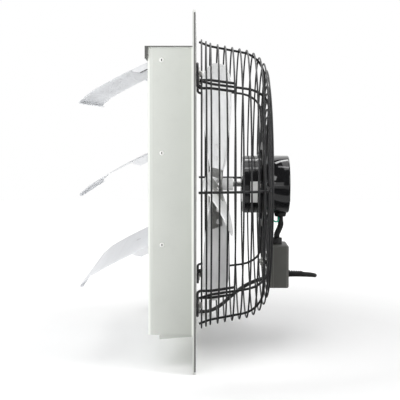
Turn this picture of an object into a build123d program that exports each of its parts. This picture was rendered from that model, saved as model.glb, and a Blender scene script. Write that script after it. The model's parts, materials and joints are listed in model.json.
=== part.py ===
"""A 16-inch shutter exhaust fan: a wall panel with a louvered box outdoors and a guarded fan indoors.

Frame: millimetres, +Z up, +X along the fan's axis from the louvers to the motor.
The origin is on the fan's axis, in the face of the panel that meets the wall.
"""

import os
from math import atan2, cos, pi, radians, sin, sqrt, tan

from build123d import *

# Clearances
seat_gap = 0.3
running_gap = 0.08
fixed_gap = 0.05
cut_overrun = 1.0

# Mounting panel
panel_side = 510.0
panel_sheet = 1.5
panel_rim = 2.8
panel_corner_radius = 5.0
orifice_lip = 1.2
collar_length = 12.0
bell_mouth = 2.0
wall_hole_radius = 3.5
wall_hole_edge = 27.0
wall_hole_from_middle = 80.0

# Shutter housing
housing_border = 47.0
housing_half = panel_side / 2 - housing_border
orifice_margin = 5.0
orifice_radius = housing_half - orifice_margin
housing_depth = 67.0
housing_sheet = 1.2
housing_flange = 12.0
front_fold_depth = 7.0
front_fold_inset = 1.8
front_hem_depth = 6.0
bottom_plate_reach = 51.0
bottom_plate_drop = 4.0
bottom_plate_ends = 10.0
hood_reach = 71.0
hood_lip = 18.0
hood_ear_depth = 4.6
hood_ear_sheet = 0.9
hood_ear_hole_radius = 1.3
hood_ear_hole_up = 3.2

# Louvers
louver_count = 3
louver_top_gap = 20.0
louver_pitch = (2 * housing_half - louver_top_gap) / louver_count
louver_first_height = housing_half - louver_top_gap
louver_axis_back = 47.0
louver_sheet = 0.8
louver_end_gap = 1.0
louver_length = louver_pitch - louver_end_gap
louver_nose = 5.0
louver_skin_height = 3.6
louver_crown_height = 6.2
louver_crown_share = 0.45
louver_break = 19.0
louver_break_height = 3.8
louver_tip_drop = 1.2
louver_hem_radius = 1.7
louver_side_gap = 5.5
louver_half_width = housing_half - louver_side_gap
louver_end_flange = 7.2
louver_end_flange_length = 44.0
louver_end_flange_taper = 10.0
louver_open_angle = 26.0

# Louver pins and bushings
pivot_radius = 2.0
pivot_head_radius = 3.4
pivot_head_height = 1.8
pivot_tail = 1.5
bushing_radius = 4.5

# Tie bar
tie_back = 13.0
tie_below = 1.0
tie_bar_width = 5.0
tie_bar_sheet = 2.0
tie_eye_radius = 3.5
tie_tab_sheet = 1.2
tie_tab_grip = 8.0
tie_pin_radius = 1.5
tie_pin_head_radius = 2.6
tie_pin_head_height = 0.9
tie_open_pivot_gap = 0.3

# Wire guard
guard_ring_wire = 3.0
guard_rib_wire = 3.8
guard_rib_count = 8
guard_ring_sides = 32
guard_mouth_overlap = 27.0
guard_mouth_radius = orifice_radius + guard_mouth_overlap
guard_mouth_depth = 10.0
guard_mouth_ring_count = 2
guard_flare = 5.5
guard_shoulder_radius = guard_mouth_radius - guard_flare
guard_shoulder_depth = 24.0
guard_taper = 0.19
guard_back_depth = 115.0
guard_corner_radius = 45.0
guard_rib_corner_radius = 42.3
guard_rib_inset = 4.05
guard_side_pitch = 11.5
guard_back_pitch = 13.0
guard_inner_radius = 57.0

# Guard feet
foot_wire = 4.0
foot_half_gap = 8.6
foot_bend_radius = 6.0
foot_overlap = 27.0
foot_reach = guard_mouth_radius + foot_overlap
foot_leg_depth = 58.0
foot_screw_out = 10.0
foot_screw_circle = guard_mouth_radius + foot_screw_out
foot_screw_radius = 2.5
foot_washer_radius = 10.0
foot_washer_thickness = 1.2
foot_head_radius = 4.6
foot_head_height = 4.0
foot_screw_tail = 6.0

# Fan
fan_tip_gap = 9.0
fan_radius = orifice_radius - fan_tip_gap
blade_count = 4
blade_sheet = 1.2
blade_middle_depth = 34.0
blade_root_radius = 26.0
blade_arm_end = 74.0
blade_shoulder_inset = 64.0
blade_shoulder_radius = fan_radius - blade_shoulder_inset
blade_root_chord = 34.0
blade_arm_chord = 56.0
blade_shoulder_chord = 80.0
blade_tip_chord = 84.0
blade_corner_radius = 30.0
blade_root_pitch_angle = 38.0
blade_shoulder_pitch_angle = 33.0
blade_tip_pitch_angle = 28.0
blade_camber_share = 0.06
blade_rest_angle = 10.7
arm_width = 26.0
arm_sheet = 2.0
spider_sheet = 3.0
rivet_radius = 2.2
rivet_circles = (42.0, 62.0)
rivet_head_radius = 4.0
rivet_head_height = 1.3
hub_radius = 10.0
hub_length = 18.0
hub_depth = 43.0
set_screw_radius = 2.5

# Motor
shaft_radius = 4.0
motor_front = 76.0
motor_radius = 46.0
motor_wall = 2.5
motor_joint = 99.0
motor_lip_radius = 47.3
motor_lip_width = 7.0
motor_rear_edge = 147.5
motor_end = 153.5
motor_edge_radius = 2.5
motor_nose_chamfer = 2.0
front_boss_radius = 13.0
front_boss_length = 2.0
bearing_radius = 11.0
bearing_width = 8.0
bearing_seat_wall = 2.4
shaft_hole_gap = 1.0
stator_bore = 30.5
stator_front = 92.0
stator_length = 34.0
air_gap = 0.5
winding_height = 9.0
winding_inset = 1.5
ear_radius = 55.5
ear_width = 13.0
ear_sheet = 3.2
mount_hole_circle = 50.9
mount_screw_radius = 2.0
mount_screw_head_radius = 3.3
mount_screw_head_height = 2.6
mount_nut_radius = 3.9
mount_nut_height = 3.2
mount_plate_outer = 68.0
mount_plate_sheet = 2.0
mount_hole_gap = 0.3

# Motor lead and ground wire
grommet_radius = 10.0
grommet_depth = 137.0
grommet_height = 6.0
grommet_taper_share = 0.85
lead_sleeve = 9.0
lead_route = [
    (137.0, 0, -52.0),
    (137.0, 0, -57.5),
    (138.2, 0, -65.0),
    (134.8, 0, -74.0),
    (131.5, 0, -80.5),
    (131.5, 0, -86.5),
]
ground_wire = 2.2
ground_wire_route = [
    (134.0, -5.2, -52.0),
    (134.0, -5.2, -56.0),
    (132.6, -6.0, -60.2),
    (128.2, -7.2, -60.4),
    (123.0, -8.4, -55.6),
    (118.0, -9.0, -51.0),
    (112.35, -9.0, -51.0),
]
ground_screw_side = 16.0
ground_screw_down = 51.0
ground_screw_radius = 1.6
ground_screw_head = 3.4
ground_screw_height = 2.2
ground_lug_sheet = 0.8
ground_lug_length = 7.0
ground_barrel = 2.0

# Junction box
box_depth = 30.5
box_half_width = 35.0
box_top = -96.0
box_height = 68.0
box_wall = 1.8
box_corner = 3.0
box_plate_sheet = 1.5
box_clamp_width = 12.0
box_clamp_half_length = 19.0
box_screw_side = 12.0
box_screw_radius = 2.0
box_screw_head = 3.8
box_screw_height = 2.4
gland_depth = 131.5
gland_height = 9.5
gland_radius = 8.5
gland_lobes = 8
gland_flange_height = 2.5
capacitor_radius = 13.0
capacitor_length = 52.0
connector_radius = 5.0
connector_length = 15.0

# Supply cord
cord_diameter = 6.6
cord_route = [
    (151.8, 0, -145.0),
    (170.65, 0, -145.0),
    (187.35, 9.65, -147.6),
    (197.0, 26.35, -151.6),
    (197.0, 45.65, -154.0),
    (187.35, 62.35, -155.6),
    (170.65, 72.0, -156.5),
    (151.0, 77.0, -157.4),
    (131.0, 92.0, -161.5),
    (107.0, 115.0, -171.0),
    (84.0, 144.0, -186.0),
    (63.0, 177.0, -208.0),
    (43.0, 211.0, -233.0),
    (22.0, 243.0, -248.0),
    (5.0, 270.0, -251.7),
    (-3.8, 292.0, -251.5),
    (-4.5, 312.0, -251.7),
]
cord_exit_height = -145.0
cord_collar_radius = 5.2
cord_collar_length = 3.0
floor_height = -panel_side / 2
coil_middle_back = -46.0
coil_middle_side = 312.0
coil_outer_radius = 41.5
coil_turn_pitch = 7.2
coil_layer_turns = 2.25
coil_climb_turns = 0.5
coil_tube_sides = 6
coil_check_points = 900
cord_tail_route = [
    (-4.5, 312.0, -244.5),
    (-4.7, 327.0, -244.7),
    (-9.0, 344.0, -245.6),
    (-17.0, 360.0, -245.6),
]
plug_length = 36.0
plug_width = 26.0
plug_height = 17.0
plug_waist_width = 22.0
plug_waist_height = 14.0
plug_corner = 4.0
plug_neck_radius = 4.3
plug_nose_length = 10.0
plug_blade_length = 17.0
plug_blade_width = 6.3
plug_blade_sheet = 1.5
plug_blade_half_gap = 6.35
plug_ground_radius = 2.4
plug_ground_drop = 5.0
plug_ground_back = 4.0

# Planes and places that several pieces share
panel_face = panel_sheet
housing_inside = housing_half - housing_sheet
louver_root_tilt = Rot(0, -louver_open_angle, 0)
rib_back_plane = guard_back_depth - guard_rib_inset
mount_plate_back = rib_back_plane - guard_rib_wire / 2 - seat_gap
mount_plate_front = mount_plate_back - mount_plate_sheet
ear_front = mount_plate_front - seat_gap - ear_sheet
front_bearing_depth = motor_front + motor_wall
rear_bearing_depth = motor_rear_edge - seat_gap - bearing_width
box_plate_front = guard_back_depth + guard_ring_wire / 2 + seat_gap
box_front = box_plate_front + box_plate_sheet
box_back = box_front + box_depth
box_middle_height = box_top - box_height / 2
foot_plane = panel_face + seat_gap + foot_wire / 2
cord_radius = cord_diameter / 2
cord_floor = floor_height + cord_radius


def write(name, shape):
    """Writes one piece, or one group of like pieces, to its own file."""
    export_step(shape, f"parts/{name}.step")


def turned(points):
    """A solid of revolution about the fan's axis from its (depth, radius) outline."""
    return revolve(Plane.XZ * make_face(Polyline(*points, close=True)), Axis.X)


def disc(depth, radius, length, hole=0.0):
    """A disc or ring on the fan's axis that starts at a depth."""
    face = Circle(radius) - Circle(hole) if hole > 0 else Circle(radius)
    return extrude(Plane.YZ.offset(depth) * face, length)


def around_axis(shape, count, first=0.0):
    """Copies of a shape evenly spaced around the fan's axis."""
    return [Rot(first + 360 * step / count, 0, 0) * shape for step in range(count)]


def offset_line(points, distance):
    """The mitred copy of an open line of straight runs, a distance to its left."""
    spots = [Vector(*point) for point in points]
    steps = [(after - before).normalized() for before, after in zip(spots, spots[1:])]
    sides = [Vector(-step.Y, step.X) for step in steps]
    copy = [spots[0] + sides[0] * distance]
    for spot, before, after in zip(spots[1:], sides, sides[1:]):
        mitre = (before + after).normalized()
        copy.append(spot + mitre * (distance / mitre.dot(before)))
    copy.append(spots[-1] + sides[-1] * distance)
    return copy


def sheet_outline(points, thickness):
    """The outline of a folded sheet: a line, and its mitred copy a thickness to its left."""
    return make_face(Polyline(*points, *reversed(offset_line(points, thickness)), close=True))


def folded_sheet(points, thickness, half_width):
    """A sheet folded along a line in the XZ plane, as wide as twice the half width."""
    return extrude(Plane.XZ * sheet_outline(points, thickness), half_width, both=True)


def tube_along(points, diameter, radii=None):
    """A round tube along straight runs joined by tangent arcs."""
    path = FilletPolyline(*points, radius=radii) if radii else Polyline(*points)
    start = Plane(origin=path @ 0, z_dir=path % 0)
    return sweep(start * Circle(diameter / 2), path)


def arc_radii(points):
    """Arc radii for a route: each as large as the two runs at its corner allow."""
    spots = [Vector(*point) for point in points]
    radii = []
    for before, here, after in zip(spots, spots[1:], spots[2:]):
        turn = radians((here - before).get_angle(after - here))
        shorter = min((here - before).length, (after - here).length)
        radii.append(0.45 * shorter / tan(turn / 2))
    return radii


# Mounting panel


def mounting_panel():
    """The square panel with its turned rim, bell-mouthed orifice, collar and screw holes."""
    half = panel_side / 2
    outline = RectangleRounded(panel_side, panel_side, panel_corner_radius)
    pocket = Rectangle(panel_side - 2 * panel_sheet, panel_side - 2 * panel_sheet)
    panel = extrude(Plane.YZ.offset(-panel_rim) * outline, panel_rim + panel_sheet)
    panel -= extrude(Plane.YZ.offset(-panel_rim) * pocket, panel_rim)
    collar = turned([
        (-collar_length, orifice_radius),
        (-collar_length, orifice_radius + orifice_lip),
        (-bell_mouth, orifice_radius + orifice_lip),
        (0, orifice_radius + orifice_lip + bell_mouth),
        (panel_sheet, orifice_radius + orifice_lip + bell_mouth),
        (panel_sheet, orifice_radius + bell_mouth),
        (-bell_mouth + panel_sheet, orifice_radius),
    ])
    opening = disc(-panel_rim, orifice_radius + orifice_lip + bell_mouth / 2, panel_rim + 2 * panel_sheet)
    panel = panel - opening + collar
    far = half - wall_hole_edge
    near = wall_hole_from_middle
    spots = [(side * far, end * far) for side in (-1, 1) for end in (-1, 1)]
    spots += [(side * far, end * near) for side in (-1, 1) for end in (-1, 1)]
    spots += [(side * near, end * far) for side in (-1, 1) for end in (-1, 1)]
    drill = disc(-panel_rim, wall_hole_radius, panel_rim + 2 * panel_sheet)
    panel -= [Pos(0, side, height) * drill for side, height in spots]
    foot_drill = disc(-panel_rim, foot_screw_radius + seat_gap, panel_rim + 2 * panel_sheet)
    foot_drill = Pos(0, foot_screw_circle, 0) * foot_drill
    panel -= around_axis(foot_drill, 4, first=45)
    return panel


# Shutter housing


def side_wall(side):
    """A side wall, with a rear flange, a slanting front fold and a hem; side is -1 near, 1 far."""
    outer = side * housing_half
    top = housing_inside - seat_gap
    front = -housing_depth
    hem_inside = housing_inside - front_fold_inset - housing_sheet
    hem_root = housing_inside - front_fold_inset * (1 - front_hem_depth / front_fold_depth)
    outline = [
        (0, housing_half + housing_flange),
        (-housing_sheet, housing_half + housing_flange),
        (-housing_sheet, housing_half),
        (front + front_fold_depth, housing_half),
        (front, housing_half - front_fold_inset),
        (front, hem_inside),
        (front + front_hem_depth, hem_inside),
        (front + front_hem_depth, hem_root),
        (front + front_fold_depth, housing_inside),
        (0, housing_inside),
    ]
    face = make_face(Polyline(*[(depth, side * across) for depth, across in outline], close=True))
    wall = extrude(Plane.XY.offset(-top) * face, 2 * top)
    drill = Cylinder(pivot_radius + fixed_gap, 2 * cut_overrun + 2 * housing_sheet)
    drill = Rot(90, 0, 0) * drill
    for number in range(louver_count):
        wall -= Pos(-louver_axis_back, outer, pivot_height(number)) * drill
    return wall


def pivot_height(number):
    """Height of a louver's pivot axis, counted from the top."""
    return louver_first_height - number * louver_pitch


def top_hood():
    """The top plate: a rear flange on the panel, a flat top and a front lip with two ears."""
    high = housing_half
    half_width = housing_half + seat_gap + hood_ear_sheet
    hood = folded_sheet(
        [
            (-housing_sheet, high + housing_flange),
            (-housing_sheet, high),
            (-hood_reach, high),
            (-hood_reach, high - hood_lip),
        ],
        housing_sheet,
        half_width,
    )
    ear_height = hood_lip - housing_sheet
    middle = (-hood_reach + hood_ear_depth / 2, high - hood_lip + ear_height / 2)
    ear = extrude(Plane.XZ * Pos(*middle) * Rectangle(hood_ear_depth, ear_height), hood_ear_sheet)
    hole = Cylinder(hood_ear_hole_radius, 2 * cut_overrun + 2 * hood_ear_sheet)
    hole = Rot(90, 0, 0) * hole
    hole_height = high - hood_lip + hood_ear_hole_up
    for side in (-1, 1):
        place = side * half_width + (hood_ear_sheet if side < 0 else 0)
        hood += Pos(0, place, 0) * ear
    for side in (-1, 1):
        hood -= Pos(middle[0], side * half_width, hole_height) * hole
    return hood


def bottom_plate():
    """The bottom plate: it drains forwards, with a rear flange and two ends turned up."""
    low = -housing_half
    reach = bottom_plate_reach
    drop = bottom_plate_drop
    half_width = housing_inside - seat_gap
    plate = folded_sheet(
        [(0, low - housing_flange), (0, low), (-reach, low - drop)],
        housing_sheet,
        half_width,
    )
    end = make_face(Polyline(
        (-housing_sheet, low - housing_sheet / 2),
        (-reach, low - drop - housing_sheet / 2),
        (-reach, low - drop + bottom_plate_ends),
        (-housing_sheet, low + bottom_plate_ends),
        close=True,
    ))
    ends = extrude(Plane.XZ * end, housing_sheet)
    plate += Pos(0, half_width, 0) * ends
    plate += Pos(0, -half_width + housing_sheet, 0) * ends
    return plate


# Louvers, drawn level with the pivot at the origin and the tip towards -X


def louver_blade():
    """One louver: crowned skin with a drooped, curled tip, end flanges and the tie bar's tab."""
    crown_reach = louver_length - louver_break
    nose = (louver_nose, louver_skin_height)
    crown = (-crown_reach * louver_crown_share, louver_crown_height)
    bend = (-crown_reach, louver_break_height)
    tip = (-louver_length, -louver_tip_drop)
    slope = atan2(bend[1] - tip[1], louver_break)
    hem_back = 2 * louver_hem_radius
    hem = (tip[0] + hem_back * sin(slope), tip[1] - hem_back * cos(slope))
    hem_front = (tip[0] - louver_hem_radius * cos(slope) + hem_back / 2 * sin(slope),
                 tip[1] - louver_hem_radius * sin(slope) - hem_back / 2 * cos(slope))
    skin_line = ThreePointArc(nose, crown, bend) + Line(bend, tip) + ThreePointArc(tip, hem_front, hem)
    skin = make_brake_formed(
        louver_sheet, 2 * louver_half_width, Plane.XZ * skin_line, side=Side.LEFT, kind=Kind.ARC
    )
    skin = Pos(0, louver_half_width - skin.bounding_box().max.Y, 0) * skin
    blade = skin
    low = louver_skin_height - louver_end_flange
    full = louver_end_flange_length - louver_end_flange_taper
    below_skin = make_face(
        ThreePointArc(nose, crown, bend) + Polyline(bend, (bend[0], low), (nose[0], low), nose)
    )
    reach = make_face(Polyline(
        (nose[0], 2 * louver_crown_height),
        (-louver_end_flange_length, 2 * louver_crown_height),
        (-louver_end_flange_length, louver_skin_height),
        (-full, low),
        (nose[0], low),
        close=True,
    ))
    flange = extrude(Plane.XZ * (Pos(0, louver_sheet / 2) * below_skin & reach), louver_sheet)
    flange -= Rot(90, 0, 0) * Cylinder(pivot_radius + running_gap, 2 * louver_sheet + 2 * cut_overrun)
    blade += Pos(0, louver_half_width, 0) * flange
    blade += Pos(0, -louver_half_width + louver_sheet, 0) * flange
    return blade + tie_tab()


def tie_tab():
    """The tab under a louver's root that reaches behind the pivot to the tie bar."""
    eye = Pos(tie_back, -tie_below) * Circle(tie_eye_radius)
    arm = make_face(Polyline(
        (tie_back, -tie_below - tie_eye_radius),
        (tie_back, -tie_below + tie_eye_radius),
        (louver_nose, louver_skin_height + louver_sheet / 2),
        (-tie_tab_grip, louver_skin_height + louver_sheet / 2),
        (-tie_tab_grip, 0),
        close=True,
    ))
    outline = arm + eye - Pos(tie_back, -tie_below) * Circle(tie_pin_radius + fixed_gap)
    side = tie_bar_sheet / 2 + seat_gap
    return Pos(0, side + tie_tab_sheet, 0) * extrude(Plane.XZ * outline, tie_tab_sheet)


def on_pivot(number, shape, tilt=louver_root_tilt):
    """Places a shape drawn about a level louver's pivot onto its pivot in the open pose."""
    return Pos(-louver_axis_back, 0, pivot_height(number)) * tilt * shape


def pivot_pins():
    """Six pins, each with a domed head outside the wall and a tail inside the end flange."""
    inner = louver_half_width - louver_sheet - pivot_tail
    length = housing_half - inner
    shank = Pos(0, 0, -length / 2) * Cylinder(pivot_radius, length)
    head = Cone(pivot_head_radius, pivot_head_radius / 2, pivot_head_height)
    pin = shank + Pos(0, 0, pivot_head_height / 2) * head
    pins = []
    for number in range(louver_count):
        for side in (-1, 1):
            turn = Rot(-90 * side, 0, 0)
            pins.append(Pos(-louver_axis_back, side * housing_half, pivot_height(number)) * turn * pin)
    return Compound(pins)


def pivot_bushings():
    """Six nylon washers that keep the louvers central between the walls."""
    thickness = housing_inside - louver_half_width - 2 * seat_gap
    ring = Cylinder(bushing_radius, thickness) - Cylinder(pivot_radius + fixed_gap, thickness)
    ring = Rot(90, 0, 0) * ring
    middle = louver_half_width + seat_gap + thickness / 2
    return Compound([
        Pos(-louver_axis_back, side * middle, pivot_height(number)) * ring
        for number in range(louver_count)
        for side in (-1, 1)
    ])


def tie_pin_place(number):
    """Where a louver's tie pin stands in the open pose."""
    return on_pivot(number, Pos(tie_back, 0, -tie_below)).position


def tie_bar():
    """The flat bar that links the three louvers, upright, with a pin hole at each louver."""
    spots = [tie_pin_place(number) for number in range(louver_count)]
    top, bottom = spots[0], spots[-1]
    outline = Pos(top.X, (top.Z + bottom.Z) / 2) * Rectangle(tie_bar_width, top.Z - bottom.Z)
    for spot in spots:
        outline += Pos(spot.X, spot.Z) * Circle(tie_eye_radius)
    for number, spot in enumerate(spots):
        gap = running_gap if number == 0 else tie_open_pivot_gap
        outline -= Pos(spot.X, spot.Z) * Circle(tie_pin_radius + gap)
    return extrude(Plane.XZ * outline, tie_bar_sheet / 2, both=True)


def tie_pin(number):
    """A headed rivet through the tie bar and a louver's tab."""
    front = tie_bar_sheet / 2 + seat_gap
    back = front + tie_tab_sheet + seat_gap
    shank = Cylinder(tie_pin_radius, front + back)
    head = Cylinder(tie_pin_head_radius, tie_pin_head_height)
    pin = Pos(0, 0, (back - front) / 2) * shank
    pin += Pos(0, 0, back + tie_pin_head_height / 2) * head
    pin += Pos(0, 0, -front - tie_pin_head_height / 2) * head
    spot = tie_pin_place(number)
    return Pos(spot.X, 0, spot.Z) * Rot(-90, 0, 0) * pin


# Wire guard


def guard_corners():
    """Corners of the line through the ring wires' middles: mouth, shoulder, side's end, inner edge."""
    side_end = guard_shoulder_radius - guard_taper * (guard_back_depth - guard_shoulder_depth)
    return [
        Vector(guard_mouth_depth, guard_mouth_radius),
        Vector(guard_shoulder_depth, guard_shoulder_radius),
        Vector(guard_back_depth, side_end),
        Vector(guard_back_depth, guard_inner_radius),
    ]


def wire_ring(depth, radius):
    """One ring of guard wire, square in section and many-sided, with corners on the ribs."""
    outer = RegularPolygon(radius + guard_ring_wire / 2, guard_ring_sides)
    inner = RegularPolygon(radius - guard_ring_wire / 2, guard_ring_sides)
    face = Plane.YZ.offset(depth - guard_ring_wire / 2) * (outer - inner)
    return extrude(face, guard_ring_wire)


def guard_mouth_rings():
    """The rings of the flare, from the shoulder out to the mouth."""
    mouth, shoulder = guard_corners()[:2]
    step = (mouth - shoulder) / guard_mouth_ring_count
    spots = [shoulder + step * (number + 1) for number in range(guard_mouth_ring_count)]
    return Compound([wire_ring(spot.X, spot.Y) for spot in spots])


def ring_spots():
    """Ring places as (depth, radius): evenly down the side and round the corner, then the back."""
    profile = FilletPolyline(*guard_corners()[1:], radius=guard_corner_radius)
    flat = profile.edges().sort_by(Axis.Y)[0].length
    curved = profile.length - flat
    steps = round(curved / guard_side_pitch)
    side = [profile.position_at(curved * step / steps / profile.length) for step in range(steps + 1)]
    back_steps = round(flat / guard_back_pitch)
    pitch = flat / back_steps
    back = [(guard_back_depth, guard_inner_radius + pitch * step) for step in range(back_steps)]
    return [(spot.X, spot.Y) for spot in side], back


def guard_side_rings():
    """The rings down the side and round the back corner."""
    side, _ = ring_spots()
    return Compound([wire_ring(depth, radius) for depth, radius in side])


def guard_back_rings():
    """The flat rings across the back, out from the motor."""
    _, back = ring_spots()
    return Compound([wire_ring(depth, radius) for depth, radius in back])


def guard_ribs():
    """Eight bent wires that run inside the rings and end over the motor's mounting plate."""
    corners = guard_corners()
    corners[0] += (corners[0] - corners[1]).normalized() * guard_ring_wire
    line = [(spot.X, 0, spot.Y) for spot in offset_line(corners, -guard_rib_inset)]
    rib = tube_along(line, guard_rib_wire, [guard_corner_radius, guard_rib_corner_radius])
    return Compound(around_axis(rib, guard_rib_count))


def guard_feet():
    """Four wire loops, bent out along the panel, that the guard is screwed down by."""
    flat_side_drop = guard_shoulder_radius * (1 - cos(pi / guard_ring_sides))
    inset = guard_rib_inset + (foot_wire - guard_rib_wire + flat_side_drop) / 2
    leg_end = guard_shoulder_radius - guard_taper * (foot_leg_depth - guard_shoulder_depth) - inset
    bend_radius = guard_shoulder_radius - inset
    leg = [(foot_leg_depth, leg_end), (guard_shoulder_depth, bend_radius), (foot_plane, bend_radius),
           (foot_plane, foot_reach)]
    there = [(depth, foot_half_gap, radius) for depth, radius in leg]
    back = [(depth, -foot_half_gap, radius) for depth, radius in reversed(leg)]
    loop = foot_half_gap - fixed_gap
    radii = [foot_leg_depth, foot_bend_radius, loop, loop, foot_bend_radius, foot_leg_depth]
    foot = tube_along(there + back, foot_wire, radii)
    return Compound(around_axis(foot, 4, first=45))


def foot_screws():
    """Four screws through the feet's loops and the panel."""
    head_seat = foot_plane + foot_wire / 2 + seat_gap + foot_washer_thickness
    shank = disc(-foot_screw_tail, foot_screw_radius, foot_screw_tail + head_seat)
    head = extrude(Plane.YZ.offset(head_seat) * RegularPolygon(foot_head_radius, 6), foot_head_height)
    screw = Pos(0, 0, foot_screw_circle) * (shank + head)
    return Compound(around_axis(screw, 4, first=45))


def foot_washers():
    """The washers under the foot screws' heads."""
    seat = foot_plane + foot_wire / 2 + seat_gap / 2
    ring = disc(seat, foot_washer_radius, foot_washer_thickness, foot_screw_radius + fixed_gap)
    return Compound(around_axis(Pos(0, 0, foot_screw_circle) * ring, 4, first=45))


# Fan, drawn with one blade straight up and turned to its rest pose at the end


def blade_section(radius, chord, pitch, camber):
    """A blade's cross-section at a radius: a thin cambered strip, pitched about the blade's axis."""
    half = chord / 2
    half_sheet = blade_sheet / 2
    front = ThreePointArc((-half, half_sheet), (0, camber + half_sheet), (half, half_sheet))
    back = ThreePointArc((-half, -half_sheet), (0, camber - half_sheet), (half, -half_sheet))
    ends = Line(front @ 0, back @ 0) + Line(front @ 1, back @ 1)
    face = make_face(front + back + ends)
    plane = Plane(origin=(blade_middle_depth, 0, radius), x_dir=(0, -1, 0), z_dir=(0, 0, 1))
    return plane * Rot(0, 0, pitch) * face


def fan_blade():
    """One blade: flat where it is riveted to its arm, then widening, twisting and cambered."""
    flat = blade_sheet / 8
    root = blade_section(blade_root_radius, blade_root_chord, blade_root_pitch_angle, flat)
    arm_end = blade_section(blade_arm_end, blade_arm_chord, blade_root_pitch_angle, flat)
    shoulder = blade_section(blade_shoulder_radius, blade_shoulder_chord, blade_shoulder_pitch_angle,
                             blade_shoulder_chord * blade_camber_share)
    tip = blade_section(fan_radius + blade_sheet, blade_tip_chord, blade_tip_pitch_angle,
                        blade_tip_chord * blade_camber_share)
    return loft([root, arm_end], ruled=True) + loft([arm_end, shoulder, tip])


def on_blade(radius, behind=0.0):
    """A place on the flat root of the upright blade: a radius out, and a distance behind it."""
    plane = Plane(origin=(blade_middle_depth, 0, radius), x_dir=(0, -1, 0), z_dir=(0, 0, 1))
    return plane * Rot(0, 0, blade_root_pitch_angle) * Pos(0, behind, 0)


def at_rest(shape, number=0):
    """Turns a piece drawn for the upright blade to the place of a numbered blade at rest."""
    return Rot(blade_rest_angle + 360 * number / blade_count, 0, 0) * shape


def rivet_holes():
    """Clearance holes for the upright blade's rivets."""
    hole = Rot(90, 0, 0) * Cylinder(rivet_radius + fixed_gap, 2 * arm_width)
    return [on_blade(radius) * hole for radius in rivet_circles]


def trimmed_blade(number):
    """A numbered blade at rest: its tip cut to the fan's circle, its corners round, its rivet holes."""
    width = blade_tip_chord * cos(radians(blade_tip_pitch_angle))
    outline = Circle(fan_radius) & RectangleRounded(width, 2 * fan_radius, blade_corner_radius)
    blade = fan_blade() & extrude(Plane.YZ * outline, guard_back_depth)
    return at_rest(blade - rivet_holes(), number)


def blade_spider():
    """The hub plate with a pitched arm behind each blade's root."""
    bore = shaft_radius + fixed_gap
    spider = disc(hub_depth - spider_sheet, blade_root_radius - seat_gap, spider_sheet)
    arm_behind = blade_sheet / 2 + seat_gap + arm_sheet / 2
    arm_start = hub_radius + seat_gap
    arm_length = blade_arm_end - arm_sheet - arm_start
    arm = extrude(on_blade(arm_start, arm_behind) * Rectangle(arm_width, arm_sheet), arm_length)
    arm -= rivet_holes()
    for number in range(blade_count):
        spider += Rot(360 * number / blade_count, 0, 0) * arm
    return at_rest(spider - disc(0, bore, guard_back_depth))


def blade_rivets():
    """Two headed rivets through each blade and its arm."""
    front = -blade_sheet / 2 - fixed_gap
    back = blade_sheet / 2 + seat_gap + arm_sheet + fixed_gap
    middle = (front + back) / 2
    shank = Pos(0, middle, 0) * Rot(90, 0, 0) * Cylinder(rivet_radius, back - front)
    head = Rot(90, 0, 0) * Cylinder(rivet_head_radius, rivet_head_height)
    rivet = shank + Pos(0, front - rivet_head_height / 2, 0) * head
    rivet += Pos(0, back + rivet_head_height / 2, 0) * head
    return Compound([
        at_rest(on_blade(radius) * rivet, number)
        for number in range(blade_count)
        for radius in rivet_circles
    ])


def set_screw_place():
    """Where the hub's set screw stands, as a depth."""
    return hub_depth + hub_length - 2 * set_screw_radius


def fan_hub():
    """The hub, with a tapped cross hole for its set screw."""
    hub = disc(hub_depth + fixed_gap, hub_radius, hub_length - fixed_gap, shaft_radius + fixed_gap)
    hole = Cylinder(set_screw_radius + fixed_gap, hub_radius + cut_overrun)
    return at_rest(hub - Pos(set_screw_place(), 0, (hub_radius + cut_overrun) / 2) * hole)


def hub_set_screw():
    """The headless screw that holds the hub on the shaft."""
    length = hub_radius - shaft_radius - fixed_gap
    height = shaft_radius + fixed_gap + length / 2
    return at_rest(Pos(set_screw_place(), 0, height) * Cylinder(set_screw_radius, length))


# Motor


def fan_shaft():
    """The shaft, from the hub plate's face to the rear bearing."""
    return disc(hub_depth - spider_sheet, shaft_radius, rear_bearing_depth + bearing_width - hub_depth
                + spider_sheet)


def front_bell():
    """The motor's front shell, with the front bearing's seat and a low boss round the shaft."""
    face = motor_front + motor_wall
    seat = bearing_radius + fixed_gap
    seat_end = face + bearing_width
    hole = shaft_radius + shaft_hole_gap
    return turned([
        (motor_front - front_boss_length, hole),
        (motor_front - front_boss_length, front_boss_radius),
        (motor_front, front_boss_radius),
        (motor_front, motor_radius - motor_nose_chamfer),
        (motor_front + motor_nose_chamfer, motor_radius),
        (motor_joint, motor_radius),
        (motor_joint, motor_radius - motor_wall),
        (face, motor_radius - motor_wall),
        (face, seat + bearing_seat_wall),
        (seat_end, seat + bearing_seat_wall),
        (seat_end, seat),
        (face, seat),
        (face, hole),
    ])


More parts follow.
